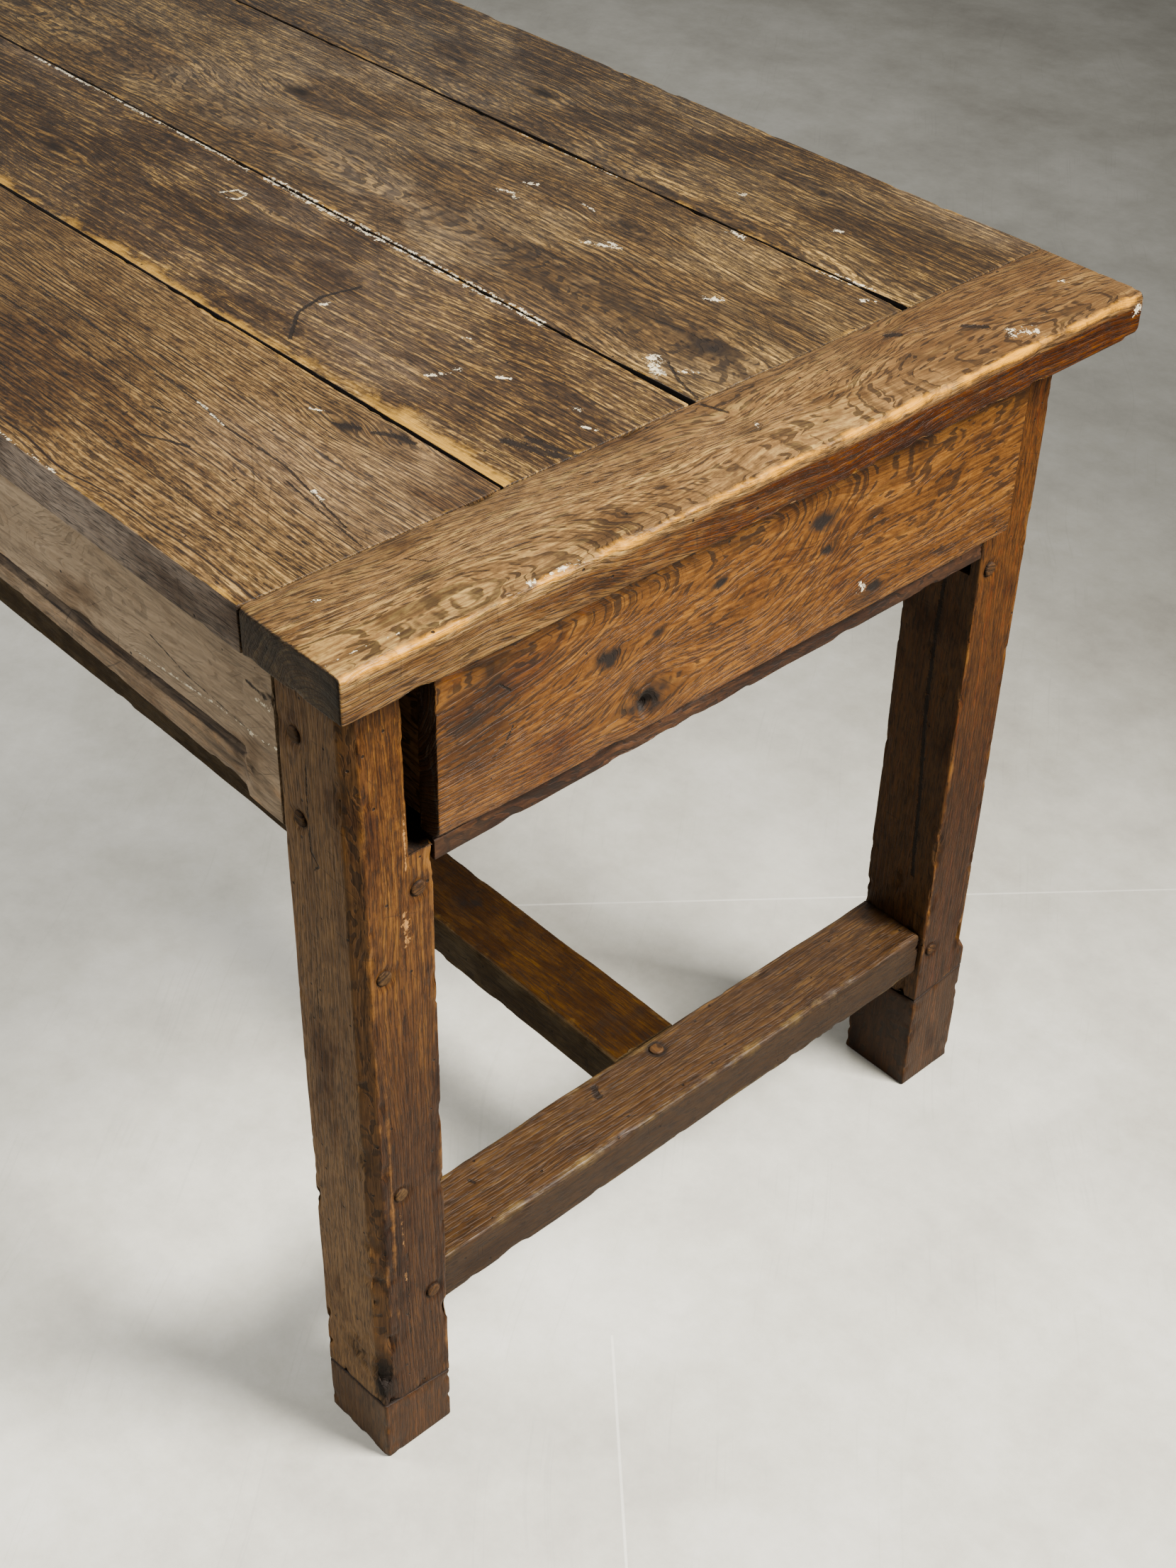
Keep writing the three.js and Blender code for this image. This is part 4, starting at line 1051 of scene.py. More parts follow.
for seed, (name, (gaps, arrises, edge, coat, cracks, smears, knots, stains)) in enumerate(PLANKS.items(), 1):
    material = oak(f"oak {name} plank", "x up", middle(*box("top_plank_" + name)), seed, cracks, smears,
                   **{**TOP_COAT, **coat})
    plank(name, seed, material, gaps, arrises, edge, knots, stains)
print("planks laid,", sum(triangles_made), "triangles so far")

# %% [markdown]
# ## The breadboard ends
#
# The board across the planks is the one that hands, aprons and knives meet, so its upper outer arris is
# rubbed round and shines, with dents and a bruise. Its grain runs across the table and swirls round a
# knot in the middle. The sawn ends are smooth, cold grey end grain.

# %% Breadboards
def breadboard(node, end, seed, material, knots, arches, stains):
    """An arch is where a rise of the rings starts, over how far it goes and how high."""
    low, high = box(node)
    rubbed = arris_size(4.2 * MM, 0.45, seed)
    radii = (1.5 * MM, 2 * MM, rubbed, MM) if end > 0 else (2 * MM, 1.5 * MM, MM, rubbed)
    section = plain_section(low[0], high[0], low[2], high[2], radii)
    w = Worn(seed, *swept("y", low[1], high[1], 2.4 * MM, section, (14, 12, 38, 12), arris=2.2 * MM))
    up, out, under = w.faces(0, 0, 1), w.faces(end, 0, 0), w.faces(0, 0, -1)
    ends = w.faces(0, 1, 0) + w.faces(0, -1, 0)
    outer = np.exp(-(end * (OUTER_BOARD_X * end - w.x)) / (6 * MM))
    arris = w.near * outer * np.exp(-(high[2] - w.z) / (10 * MM))
    w.wave((0.05, 0.14, 0.05), 0.7)
    w.wave((0.014, 0.05, 0.02), 0.22, 2)
    w.bite((0.008, 0.02, 0.008), 1.5, 4, 0.15)
    w.depth += 2.2 * MM * arris * smooth((w.noise((0.01, 0.035, 0.01), 6) - 0.05) * 2.0)
    w.grain(0.005, (0.09, 0.2, 0.09), 0.01, (0.2, 0.14, 0.2))
    for start, reach, height in arches:
        w.paints["rise"] += height * smooth((w.y - start) / reach)
    # The underside is painted darker as shade.
    w.paint("dark", 0.15 * under)
    for row in knots:
        core = w.knot((1, 0), *row)
        w.paint("dark", 0.55 * core * up)
        w.depth += 0.6 * MM * core * up
    w.paint("dark", 0.5 * np.exp(-np.abs(w.x - end * BOARD_INNER_X) / (4 * MM)))
    w.paint("dark", 0.85 * (ends * np.exp(-np.abs(w.x - end * OUTER_BOARD_X) / (4 * MM))))
    w.paint("dark", 0.4 * up * smooth(w.noise((0.02, 0.03, 0.02), 33) * 2.2 - 0.5))
    inner_half = smooth((0.975 - end * w.x) / 0.06)
    w.paint("dark", up * inner_half * (0.36 + 0.3 * w.noise((0.03, 0.07, 0.03), 34)))
    flecked = 0.6 + 0.55 * w.noise((0.03, 0.05, 0.03), 40)
    w.paint("wear", np.maximum(w.near * 0.3, arris * 1.45) * flecked * (1 - ends))
    w.paint("grey", ends)
    w.paint("grey", 0.22 * up * smooth(0.5 + w.noise((0.06, 0.2, 0.06), 50)))
    w.paint("grey", 0.6 * under)
    w.paint("stain", w.stains(stains) * np.maximum(up, out))
    face = out * (0.55 + 0.4 * smooth((w.y + 0.25) / 0.3) + 0.35 * w.noise((0.03, 0.05, 0.014), 44))
    w.paint("stain", face * smooth((high[2] - 6 * MM - w.z) / (5 * MM)))
    return w.finish(node, material)


BOARD_COAT = dict(
    light=(124, 100, 54), middle=(82, 59, 31), dark=(24, 15, 6), grey=(40, 35, 28), rub=(168, 113, 2),
    soot=(134, 92, 28), grime=(160, 144, 126), ring_width=0.003, deep=0.036, aside=0.028, slope=0.03,
    whole=0.7, fine_share=0.35, stain_level=0.6, line_share=0.58, late=0.7, fleck_share=0.32, fibre_share=0.4,
    worm_level=0.93, roughness=0.46, gloss=0.07, scratch_share=0.3)
board_cracks = strokes(
    on_top, (1.0, (952, -2), (960, 6), (955, 14)), (3.6, (926, 164), (930, 172)),
    (3.0, (950, 214), (962, 226)),
    (0.8, (930, -252), (950, -236)), (0.7, (918, -120), (932, -100)), (0.7, (924, -140), (940, -112)),
    (2.0, (912, 3), (930, 8)))
board_smears = strokes(
    on_top, (0.8, (984, -350), (984, -322), (986, -300)), (2.4, (996, -214), (997, -196), (996, -176)),
    (2.2, (951, 9), (953, 11)), (5.0, (978, 232), (988, 246)))
board_smears += strokes(face_at("z", 0.748), (4.0, (999, 344), (999, 350)))
board_smears += strokes(on_top, (2.2, (950, 320), (953, 323)), (2.0, (930, -318), (933, -316)))
BOARD_OAK = oak("oak breadboard", "y up", middle(*box("breadboard_drawer_end")), 11,
                board_cracks, board_smears,
                **BOARD_COAT)
FAR_BOARD_OAK = oak("oak far breadboard", "y up", middle(*box("breadboard_far_end")), 12,
                    **{**BOARD_COAT, "slope": -0.03})
breadboard(
    "breadboard_drawer_end", 1, 11, BOARD_OAK,
    [(0.004, 0.955, 0.05, 0.024, 0.032), (0.17, 0.926, 0.02, 0.010, 0.012),
     (-0.255, 0.95, 0.05, 0.02, 0.014)],
    [(-0.26, 0.22, 0.028), (0.03, 0.22, -0.022)],
    [(on_top(945, 235), (0.08, 0.14, 0.1), 0.48), (on_top(912, -20), (0.02, 0.1, 0.1), 0.3),
     (on_top(940, 320), (0.06, 0.06, 0.1), 0.35), ((1.0, 0.15, 0.74), (0.02, 0.2, 0.02), 0.2)])
breadboard(
    "breadboard_far_end", -1, 12, FAR_BOARD_OAK,
    [(-0.1, -0.95, 0.04, 0.02, 0.02), (0.2, -0.93, 0.02, 0.010, 0.012)],
    [(-0.25, 0.16, 0.04), (0.05, 0.15, -0.04)], [((-0.94, 0.1, TOP_HIGH), (0.06, 0.1, 0.1), 0.35)])
print("breadboards laid,", sum(triangles_made), "triangles so far")

# %% [markdown]
# ## The legs and their pieced feet
#
# A leg is a square post with a chamfer down its outer corner. The two at the drawer end are cut back
# above a shoulder, so their section changes from seven corners round a plain post to seven corners round
# a notch; below the shoulder the spare corners lie on a straight side. The foot joint is a slant: the
# wood near it is sheared by the same height formula for the leg and for the tip.

# %% Legs
TIP_RISE = 8 * MM
CHAMFER = 8 * MM
NOTCH_WIDTH, NOTCH_DEPTH = 19 * MM, 34 * MM
SHOULDER = RAIL_HIGH[2] - 1 * MM
MORTISE_LOW, MORTISE_HIGH = RAIL_HIGH[2] - 35 * MM, RAIL_LOW[2] + 4 * MM
MORTISE_X = (0.9335, 0.9515)
PEG_DISH, DISH_RIM, PEG_RING, RING_RIM = 11 * MM, 5 * MM, 7.2 * MM, 2.6 * MM
FOOT_BLEND = 90 * MM
CORNERS = {"front_left": (1, -1), "front_right": (1, 1), "back_left": (-1, -1), "back_right": (-1, 1)}


def rise_at(inward_x, inward_y):
    """How far the slanted foot joint climbs towards the outer corner."""
    return TIP_RISE * (1 - inward_x / LEG_DEPTH) + TIP_RISE * (1 - inward_y / LEG_WIDTH)


def leg_section(end, side, chamfer_low, chamfer_top, front, seed):
    """Seven corners, measured inwards from the two outer faces and then put on the leg's own corner."""
    def section(along):
        ones = np.ones(len(along))
        cut = CHAMFER * smooth((along - chamfer_low) / (16 * MM)) * smooth((chamfer_top - along) / MM) + MM
        notch = front * (along > SHOULDER)
        third = LEG_WIDTH - NOTCH_WIDTH * notch
        inward = [(cut, 0), (LEG_DEPTH, 0), (LEG_DEPTH, LEG_WIDTH), (NOTCH_DEPTH, LEG_WIDTH),
                  (NOTCH_DEPTH * (0.5 + 0.5 * notch), third), (0, third), (0, cut)]
        corners = np.stack([np.stack([end * (OUTER_X - u * ones), side * (OUTER_Y - v * ones)], 1)
                            for u, v in inward], 1)
        worn = arris_size(2.4 * MM, 0.6, seed)(along)
        sizes = (1.5 * MM, worn, worn, 0.3 * MM, 0.3 * MM, worn, 1.5 * MM)
        return corners, np.stack([size * ones for size in sizes], 1)
    return section


def peg_marks(corner):
    """The outer ends of a leg's pegs: place and the axis that each is driven along."""
    marks = []
    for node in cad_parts:
        if node.startswith("peg_") and node.endswith(corner):
            low, high = box(node)
            axis = int(np.argmax(high - low))
            outer = middle(low, high)
            outer[axis] = high[axis] if outer[axis] > 0 else low[axis]
            marks.append((outer, axis))
    return marks


def peg_seats(place, marks):
    """A shallow dish and a ring of dirt round each peg: how near each point is to a ring of peg size."""
    dish = np.zeros(place.shape[:2])
    ring = np.zeros(place.shape[:2])
    for outer, axis in marks:
        apart = place - outer
        away = np.linalg.norm(np.delete(apart, axis, axis=2), axis=2)
        near = np.abs(apart[..., axis]) < 4 * MM
        dish = np.maximum(dish, near * smooth((PEG_DISH - away) / DISH_RIM))
        ring = np.maximum(ring, near * np.exp(-((away - PEG_RING) / RING_RIM) ** 2))
    return dish, ring


def notch_marks(w, side, inward_y):
    """The drawer end's legs: an old empty mortise under the notch, painted dark inside as shade, and painted
    shade on the notch's ledge.
    """
    low, high = MORTISE_X
    mortise = (smooth((w.x - low) / MM) * smooth((high - w.x) / MM) * smooth((w.z - MORTISE_LOW) / MM)
               * smooth((MORTISE_HIGH - w.z) / MM) * w.faces(0, -side, 0))
    w.depth += 9 * MM * mortise
    # The mortise's inside is painted dark as shade.
    w.paint("dark", 0.95 * mortise)
    # Painted shade on the ledge under the drawer front.
    ledge = np.exp(-np.abs(w.z - SHOULDER) / (10 * MM)) * (inward_y > LEG_WIDTH - NOTCH_WIDTH - MM)
    w.paint("dark", 0.75 * ledge * (w.z > SHOULDER - MM))


def leg(corner, material, seed, spacing, inner_dirt_and_shade, side_grey_and_shade, end_grey_and_shade, pale=(), rot=()):
    end, side = CORNERS[corner]
    node = "leg_" + corner
    low, high = box(node)
    tip_height = low[2] - SEAT
    section = leg_section(end, side, tip_height + 2 * TIP_RISE + 4 * MM, FRAME_TOP, end > 0, seed)
    shoulder = (SHOULDER - 0.15 * MM, SHOULDER + 0.15 * MM) if end > 0 else ()
    steps = (28, 24, 13, 6, 12, 22, 3)
    place, near = swept("z", low[2], high[2], spacing, section, steps, arris=0.8 * MM, extra=shoulder)
    inward_x, inward_y = OUTER_X - end * place[..., 0], OUTER_Y - side * place[..., 1]
    slant = rise_at(inward_x, inward_y)
    place[..., 2] += slant * (1 - smooth((place[..., 2] - low[2]) / FOOT_BLEND))
    w = Worn(seed, place, near)
    face_end, face_side = w.faces(end, 0, 0), w.faces(0, side, 0)
    inner = w.faces(0, -side, 0) + w.faces(-end, 0, 0)
    w.wave((0.04, 0.04, 0.14), 0.8)
    w.wave((0.012, 0.012, 0.05), 0.25, 3)
    w.bite((0.008, 0.008, 0.022), 1.5, 5, 0.12, 1 + 1.3 * smooth((0.35 - w.z) / 0.2))
    w.bite((0.01, 0.01, 0.011), 2.0, 7, 0.34)
    dish, ring = peg_seats(place, peg_marks(corner))
    w.depth += 1.1 * MM * dish
    w.grain(0.006, (0.06, 0.06, 0.3), 0.005, (0.15, 0.15, 0.22))
    w.paint("dark", 0.4 * ring * (1 - 0.6 * face_side))
    # The inner faces are darkened by dirt and by painted shade under the table.
    w.paint("dark", inner_dirt_and_shade * inner)
    w.paint("dark", 0.8 * np.exp(-(w.z - tip_height - slant) / (2.5 * MM)))
    # Painted shade under the overhanging top, over the leg's highest 14 mm.
    w.paint("dark", 0.2 * np.exp(-(FRAME_TOP - w.z) / (14 * MM)))
    chamfered = w.faces(end * 0.7, side * 0.7, 0) * (np.abs(w.normal @ np.array([end, -side, 0])) < 0.6)
    w.paint("dark", 0.4 * chamfered * (0.8 + 0.5 * w.noise((0.02, 0.02, 0.1), 31)))
    if end > 0:
        notch_marks(w, side, inward_y)
    w.paint("wear", w.near * (0.45 + 0.5 * w.noise((0.03, 0.03, 0.06), 40)) * (1 - 0.6 * inner))
    for centre, size, strength in pale:
        w.paint("wear", strength * w.spot(centre, size))
    for centre, size, strength in rot:
        soft = w.spot(centre, size)
        w.paint("dark", strength * soft)
        w.depth += 2.5 * MM * soft * smooth(0.3 + w.noise(0.007, 60))
    # The sides, the far legs' end faces and the inner faces are greyed: dry wood, and partly painted cool
    # shade.
    for grey in (side_grey_and_shade * face_side, end_grey_and_shade * face_end, 0.35 * inner):
        w.paint("grey", grey)
    # The end faces are painted darker towards the bottom.
    w.paint("stain", 0.66 * face_end * smooth((0.66 - w.z) / 0.38))
    return w.finish(node, material)


def foot_tip(corner, material, seed):
    """The pieced tip: the leg's section without its chamfer, from the floor up to the slanted joint."""
    end, side = CORNERS[corner]
    top = box("leg_" + corner)[0][2] - SEAT
    sides_x = sorted((end * OUTER_X, end * INNER_X))
    sides_y = sorted((side * OUTER_Y, side * INNER_Y))
    section = plain_section(*sides_x, *sides_y, [arris_size(2.6 * MM, 0.4, seed)] * 4)
    place, near = swept("z", 0.0, top, 2.4 * MM, section, (26, 24, 26, 24), arris=1.6 * MM)
    slant = rise_at(OUTER_X - end * place[..., 0], OUTER_Y - side * place[..., 1])
    place[..., 2] += slant * smooth(place[..., 2] / top)
    w = Worn(seed, place, near)
    w.wave(0.05, 0.5)
    w.depth *= 1 - w.faces(0, 0, -1)
    w.bite(0.012, 1.4, 5, 0.1)
    w.paint("dark", 0.75 * np.exp(-(top + slant - w.z) / (2.2 * MM)))
    # The tip is painted darker over its lowest few millimetres, where it meets the floor.
    w.paint("dark", 0.5 * np.exp(-w.z / (6 * MM)))
    w.paint("wear", w.near * (0.35 + 0.4 * w.noise(0.03, 40)))
    w.paint("grey", 0.3 * w.faces(0, side, 0))
    w.paint("bend", 0.004 * w.noise((0.06, 0.06, 0.2), 20))
    return w.finish("foot_tip_" + corner, material)


print("a leg's notch starts", round(SHOULDER * 1000, 1), "mm above the floor")

# %% [markdown]
# ### The four legs
#
# The near leg carries most marks: a long pale scrape, a rotten spot low on its corner and two cracks. The
# right leg has one long crack on its inner side, which is dark with dirt and painted shade. The far legs are
# plainer, and greyer at the end: dry wood, and partly painted shade.

# %% Stand the legs
LEG_COAT = dict(
    light=(80, 52, 15), middle=(56, 32, 8), dark=(17, 5, 1), grey=(90, 67, 40), grime=(160, 136, 118),
    pale=(112, 80, 44), rub=(83, 53, 16), line_share=0.4, fibre_share=0.42, whole=0.7, late=0.58,
    fleck_share=0.38, streak_share=0.2, ring_width=0.0033, deep=0.11, aside=0.13, slope=0.008,
    stain_level=0.6, fine_share=0.4, worm_level=0.62, scratch_share=0.3, pore_share=0.6, roughness=0.5,
    gloss=0.08)
leg_cracks = strokes(on_end, (0.9, (-296.5, 216), (-297, 170), (-296.7, 128)))
leg_cracks += strokes(on_near_side, (1.3, (920, 640), (918, 600), (919, 574), (926, 566), (921, 560)),
                      (0.7, (924, 560), (915, 470), (913, 380)))
leg_smears = strokes(
    on_end, (1.0, (-300.4, 262), (-299.4, 240), (-298.6, 224)), (0.9, (-298.4, 196), (-297.6, 182)),
    (0.9, (-283.4, 616), (-283.8, 590), (-283.4, 564)), (3.0, (-287, 530), (-285, 518), (-286, 505)))
right_cracks = strokes(on_right_inner, (2.6, (930, 556), (928, 470), (929, 402), (934, 336), (939, 236)))
NEAR_PALE = [((0.961, -0.263, 0.566), (0.01, 0.006, 0.012), 1.6),
             ((0.957, -0.307, 0.30), (0.01, 0.003, 0.22), 0.8)]
NEAR_ROT = [((0.958, -0.322, 0.088), (0.012, 0.012, 0.03), 0.95),
            ((0.93, -0.3235, 0.1), (0.02, 0.01, 0.02), 0.5)]
RIGHT_PALE = [((0.961, 0.262, 0.47), (0.01, 0.004, 0.012), 0.9)]
LEGS = {
    "front_left": ("near", leg_cracks, leg_smears, {}, (0.25, 0.85, 0.0, NEAR_PALE, NEAR_ROT)),
    "front_right": ("right", right_cracks, (), dict(light=(73, 34, 5), worm_level=0.86),
                    (0.24, 0.5, 0.0, RIGHT_PALE)),
    "back_left": ("far left", (), (), {}, (0.4, 0.85, 0.3)),
    "back_right": ("far right", (), (), {}, (0.45, 0.6, 0.3)),
}
TIP_OAK = oak("oak foot tips", "z side", middle(*box("leg_front_left")), 31, **{
    **LEG_COAT, "light": (48, 24, 2), "middle": (33, 16, 1), "dark": (22, 7, 0), "fibre_share": 0.3,
    "streak_share": 0.3, "worm_level": 0.95, "stain_level": 0.63, "relief": 0.25 * MM, "gloss": 0.1})
for seed, (corner, (name, cracks, smears, coat, marks)) in enumerate(LEGS.items(), 21):
    material = oak(f"oak {name} leg", "z side", middle(*box("leg_" + corner)), seed, cracks, smears,
                   **{**LEG_COAT, **coat})
    leg(corner, material, seed, 2.6 * MM if corner.startswith("front") else 4 * MM, *marks)
    foot_tip(corner, TIP_OAK, seed + 10)
print("legs and tips stand,", sum(triangles_made), "triangles so far")

# %% [markdown]
# ## The aprons
#
# Each side apron has a moulding run along its lower edge: a deep recess, then a rounded bead. It stops
# short of the legs in a scoop, and the lower edge is not straight but rises towards the middle, as the
# plank it was cut from did. So its section has eight corners, and the depth of the moulding and the
# height of the lower edge are formulas of the place along it.

# %% Aprons
REBATE_STOP = 36 * MM
SCOOP = 13 * MM
RECESS_DEPTH, BEAD_SETBACK, LOWER_SETBACK = 9 * MM, 3.5 * MM, 5 * MM
LIP_HEIGHT, BEAD_HEIGHT = 43 * MM, 27 * MM


def apron_section(side, bottom, top, seed):
    """Outer top, lip, recess top, recess foot, bead crest, bead foot, inner foot, inner top."""
    def section(along):
        ones = np.ones(len(along))
        from_leg = INNER_X - REBATE_STOP - np.abs(along)
        cut = smooth(from_leg / SCOOP + 0.15)
        spots = np.stack([along, 0 * along, 0 * along], axis=1)
        lift = (10 * smooth(from_leg / 0.30) + 1.6 * layered(spots, 0.16, seed) + 0.9) * MM
        foot = bottom + lift * smooth((INNER_X - np.abs(along)) / 0.05)
        setbacks = (0, 0, RECESS_DEPTH, RECESS_DEPTH, BEAD_SETBACK, LOWER_SETBACK)
        y = [side * OUTER_Y - side * setback * cut for setback in setbacks]
        y += [side * (OUTER_Y - APRON_THICK) * ones] * 2
        bead = np.maximum(bottom + BEAD_HEIGHT, foot + 14 * MM)
        lip = (bottom + LIP_HEIGHT) * ones
        z = [top * ones, lip, lip - 0.8 * MM, bead + 7 * MM, bead - MM, foot, foot, top * ones]
        corners = np.stack([np.stack([a, b], 1) for a, b in zip(y, z)], 1)
        sizes = (0.8, 1.2, 1.2, 5.0, 6.5, 4.0, 2.0, 0.8)
        return corners, np.stack([size * MM * ones for size in sizes], 1)
    return section


def side_apron(node, side, material, seed):
    low, high = box(node)
    half = INNER_X - SEAT
    section = apron_section(side, low[2], high[2], seed)
    w = Worn(seed, *swept("x", -half, half, 5 * MM, section, (44, 3, 7, 2, 9, 8, 30, 3), arris=0.6 * MM))
    out = w.faces(0, side, 0)
    below = (w.z < low[2] + LIP_HEIGHT) & (np.abs(w.x) < half - REBATE_STOP)
    w.wave((0.12, 0.06, 0.05), 0.7)
    w.wave((0.04, 0.02, 0.012), 0.25, 3)
    w.bite((0.02, 0.01, 0.01), 1.6, 5, 0.12)
    w.grain(0.016, (0.10, 0.08, 0.06), 0.02, (0.12, 0.1, 0.1))
    w.paints["bend"] *= 1 - below
    recess = below * (w.z > low[2] + BEAD_HEIGHT - MM) * (np.abs(w.y) < OUTER_Y - 4 * MM)
    # Painted shade in the recess under the lip, and on the underside.
    w.paint("dark", 0.62 * recess * (np.abs(w.y) > OUTER_Y - 12 * MM))
    w.paint("dark", 0.3 * w.faces(0, 0, -1))
    for x in (853 * MM, -840 * MM):
        lump = w.spot((x, side * OUTER_Y, 602 * MM), (0.02, 0.02, 0.013)) * out
        w.depth += lump * 5 * MM * w.noise(0.008, 9)
        w.paint("dark", 0.75 * lump * smooth(0.6 + w.noise(0.007, 10)))
    hole = w.spot((0.886, side * OUTER_Y, 0.672), (0.013, 0.01, 0.006))
    w.paint("dark", 0.9 * hole * smooth(0.5 + 1.5 * w.noise(0.008, 11)))
    w.depth += 1.8 * MM * hole
    w.paint("wear", w.near * (0.3 + 0.4 * w.noise((0.06, 0.02, 0.02), 40)))
    bead = below * (w.z < low[2] + BEAD_HEIGHT)
    crest = bead * np.exp(-np.abs(np.abs(w.y) - OUTER_Y + 4 * MM) / (2 * MM))
    w.paint("wear", 0.5 * crest * smooth(0.5 + w.noise((0.06, 0.02, 0.02), 44)))
    w.paint("grey", np.where(below, 0.35, 0.95) * out + 0.5 * (1 - out))
    w.paint("stain", 0.3 * smooth((np.abs(w.x) - 0.70) / 0.16) * out)
    return w.finish(node, material)


APRON_COAT = dict(
    light=(106, 82, 57), middle=(81, 63, 41), dark=(40, 27, 16), grey=(132, 114, 91), grime=(176, 160, 142),
    rub=(141, 107, 68), ring_width=0.0045, deep=0.03, slope=0.02, line_share=0.28, pore_share=0.25,
    streak_share=0.5, fine_share=0.3, worm_level=0.85, roughness=0.6, gloss=0.14)
apron_cracks = strokes(on_near_side, (0.8, (760, 650), (798, 640), (832, 637), (864, 634)),
                       (2.2, (866, 672), (878, 669), (889, 668)))
apron_smears = strokes(on_near_side, (1.1, (738, 627), (790, 631), (826, 634), (862, 634)),
                       (1.6, (864, 633), (880, 634), (892, 636)), (2.0, (874, 663), (886, 662)))
NEAR_APRON_OAK = oak("oak near apron", "x side", (0, -OUTER_Y, 0.65), 41, apron_cracks, apron_smears,
                     **APRON_COAT)
FAR_SIDE_OAK = oak("oak right apron", "x side", (0, OUTER_Y, 0.65), 42, **APRON_COAT)
side_apron("side_apron_left", -1, NEAR_APRON_OAK, 41)
side_apron("side_apron_right", 1, FAR_SIDE_OAK, 42)
print("side aprons hang,", sum(triangles_made), "triangles so far")

# %% [markdown]
# ## Straight boards: stretchers, rails, bearers and the drawer
#
# What is left is straight boards, so one function makes them all from two places, four arris sizes and a
# few strengths of wear. The stretchers are rubbed by feet on top; the drawer's own boards are dry and
# hardly worn; the pieces under the top are dark and rough.

# %% Straight boards
def straight_board(node, axis, within, spacing, radii, steps, material, seed, body="frame", wave=0.6,
                   bite=1.2, rubbed=0.5, sides=(0.0, 0.0), under=0.3, tops=0.0, marks=(), spots=(),
                   bend=0.005):
    """A board as long as its CAD box, but within limits that leave the hidden tenons out.

    sides is the greyness and painted shade of its side faces; under and tops, painted shade below and on top."""
    run, across, deep = AXES[axis]
    low, high = box(node)
    for name, (start, stop) in within.items():
        k = "xyz".index(name)
        low[k], high[k] = max(low[k], start), min(high[k], stop)
    sizes = [arris_size(size * MM, 0.45, seed + k) if size > 1.5 else size * MM
             for k, size in enumerate(radii)]
    section = plain_section(low[across], high[across], low[deep], high[deep], sizes)
    w = Worn(seed, *swept(axis, low[run], high[run], spacing * MM, section, steps, arris=0.9 * MM))
    long = np.full(3, 0.045)
    long[run] = 0.15
    w.wave(long, wave)
    w.wave(long * 0.28, 0.25, 3)
    w.bite(long * 0.18, bite, 5, 0.12)
    dish, ring = peg_seats(w.place, marks)
    w.depth += 0.9 * MM * dish
    up, down = w.faces(0, 0, 1), w.faces(0, 0, -1)
    side = 1 - np.maximum(up, down)
    # The peg rings are dirt; under, the second value of sides and tops paint shade on the underside, the side
    # faces and the top.
    for dark in (0.8 * ring, under * down, sides[1] * side, tops * up):
        w.paint("dark", dark)
    for centre, size, strength in spots:
        patch = w.spot(centre, size) * smooth(0.55 + w.noise(0.009, 12))
        w.paint("dark", strength * patch)
        w.depth += 1.2 * MM * patch * (strength > 0.7)
    w.paint("grey", sides[0] * side + 0.3 * down)
    w.paint("wear", w.near * (rubbed + 0.5 * rubbed * w.noise(long * 0.4, 40)) * (1 - 0.7 * down))
    w.grain(bend, long * 1.6, 0.01, long * 1.6)
    return w.finish(node, material, body)


print("straight boards run along", ", ".join(AXES))

# %% [markdown]
# ### The boards of the frame
#
# The stretchers carry most wear, in spots of dirt at known places. The rail under the drawer is bitten
# along its edge. The bearers, runners and guides are hardly ever seen, so they are plain.

# %% Stretchers, rail, bearers and runners
LEG_GAP = (-INNER_Y + SEAT, INNER_Y - SEAT)
APRON_GAP = (-(OUTER_Y - APRON_THICK - SEAT), OUTER_Y - APRON_THICK - SEAT)
STRETCHER_COAT = dict(
    light=(61, 43, 19), middle=(40, 25, 10), dark=(18, 9, 3), grey=(40, 26, 12), grime=(140, 118, 96),
    rub=(75, 59, 28), ring_width=0.0036, deep=0.1, aside=0.14, slope=0.01, stain_level=0.55, line_share=0.3,
    fibre_share=0.4, pore_share=0.6, late=0.58, whole=0.9, fleck_share=0.2, fine_share=0.3, stain_share=0.3,
    fine_level=0.54, worm_level=0.78, roughness=0.46, gloss=0.08)
stretcher_low, stretcher_high = box("end_stretcher_drawer_end")
end_top = stretcher_high[2]
end_cracks = strokes(face_at("z", end_top), (4.0, (905, -66), (914, -70)), (1.6, (912, -200), (917, -199)))
for seed, name, end, cracks in ((51, "drawer_end", 1, end_cracks), (52, "far_end", -1, ())):
    node = "end_stretcher_" + name
    material = oak("oak " + node.replace("_", " "), "y up", middle(*box(node)), seed, cracks,
                   **STRETCHER_COAT)
    straight_board(
        node, "y", {"y": LEG_GAP}, 3, (3, 3, 5, 5), (24, 18, 26, 18), material, seed,
        rubbed=0.4, sides=(0.72, 0.42), marks=peg_marks(name), wave=1.6, bite=1.8,
        spots=[((end * 0.911, -0.066, end_top), (0.012, 0.018, 0.01), 0.8),
               ((end * 0.93, 0.12, end_top), (0.02, 0.05, 0.01), 0.4),
               ((end * 0.9, 0.25, end_top), (0.05, 0.02, 0.02), 0.6),
               ((end * 0.9, -0.25, end_top), (0.05, 0.015, 0.02), 0.6)])

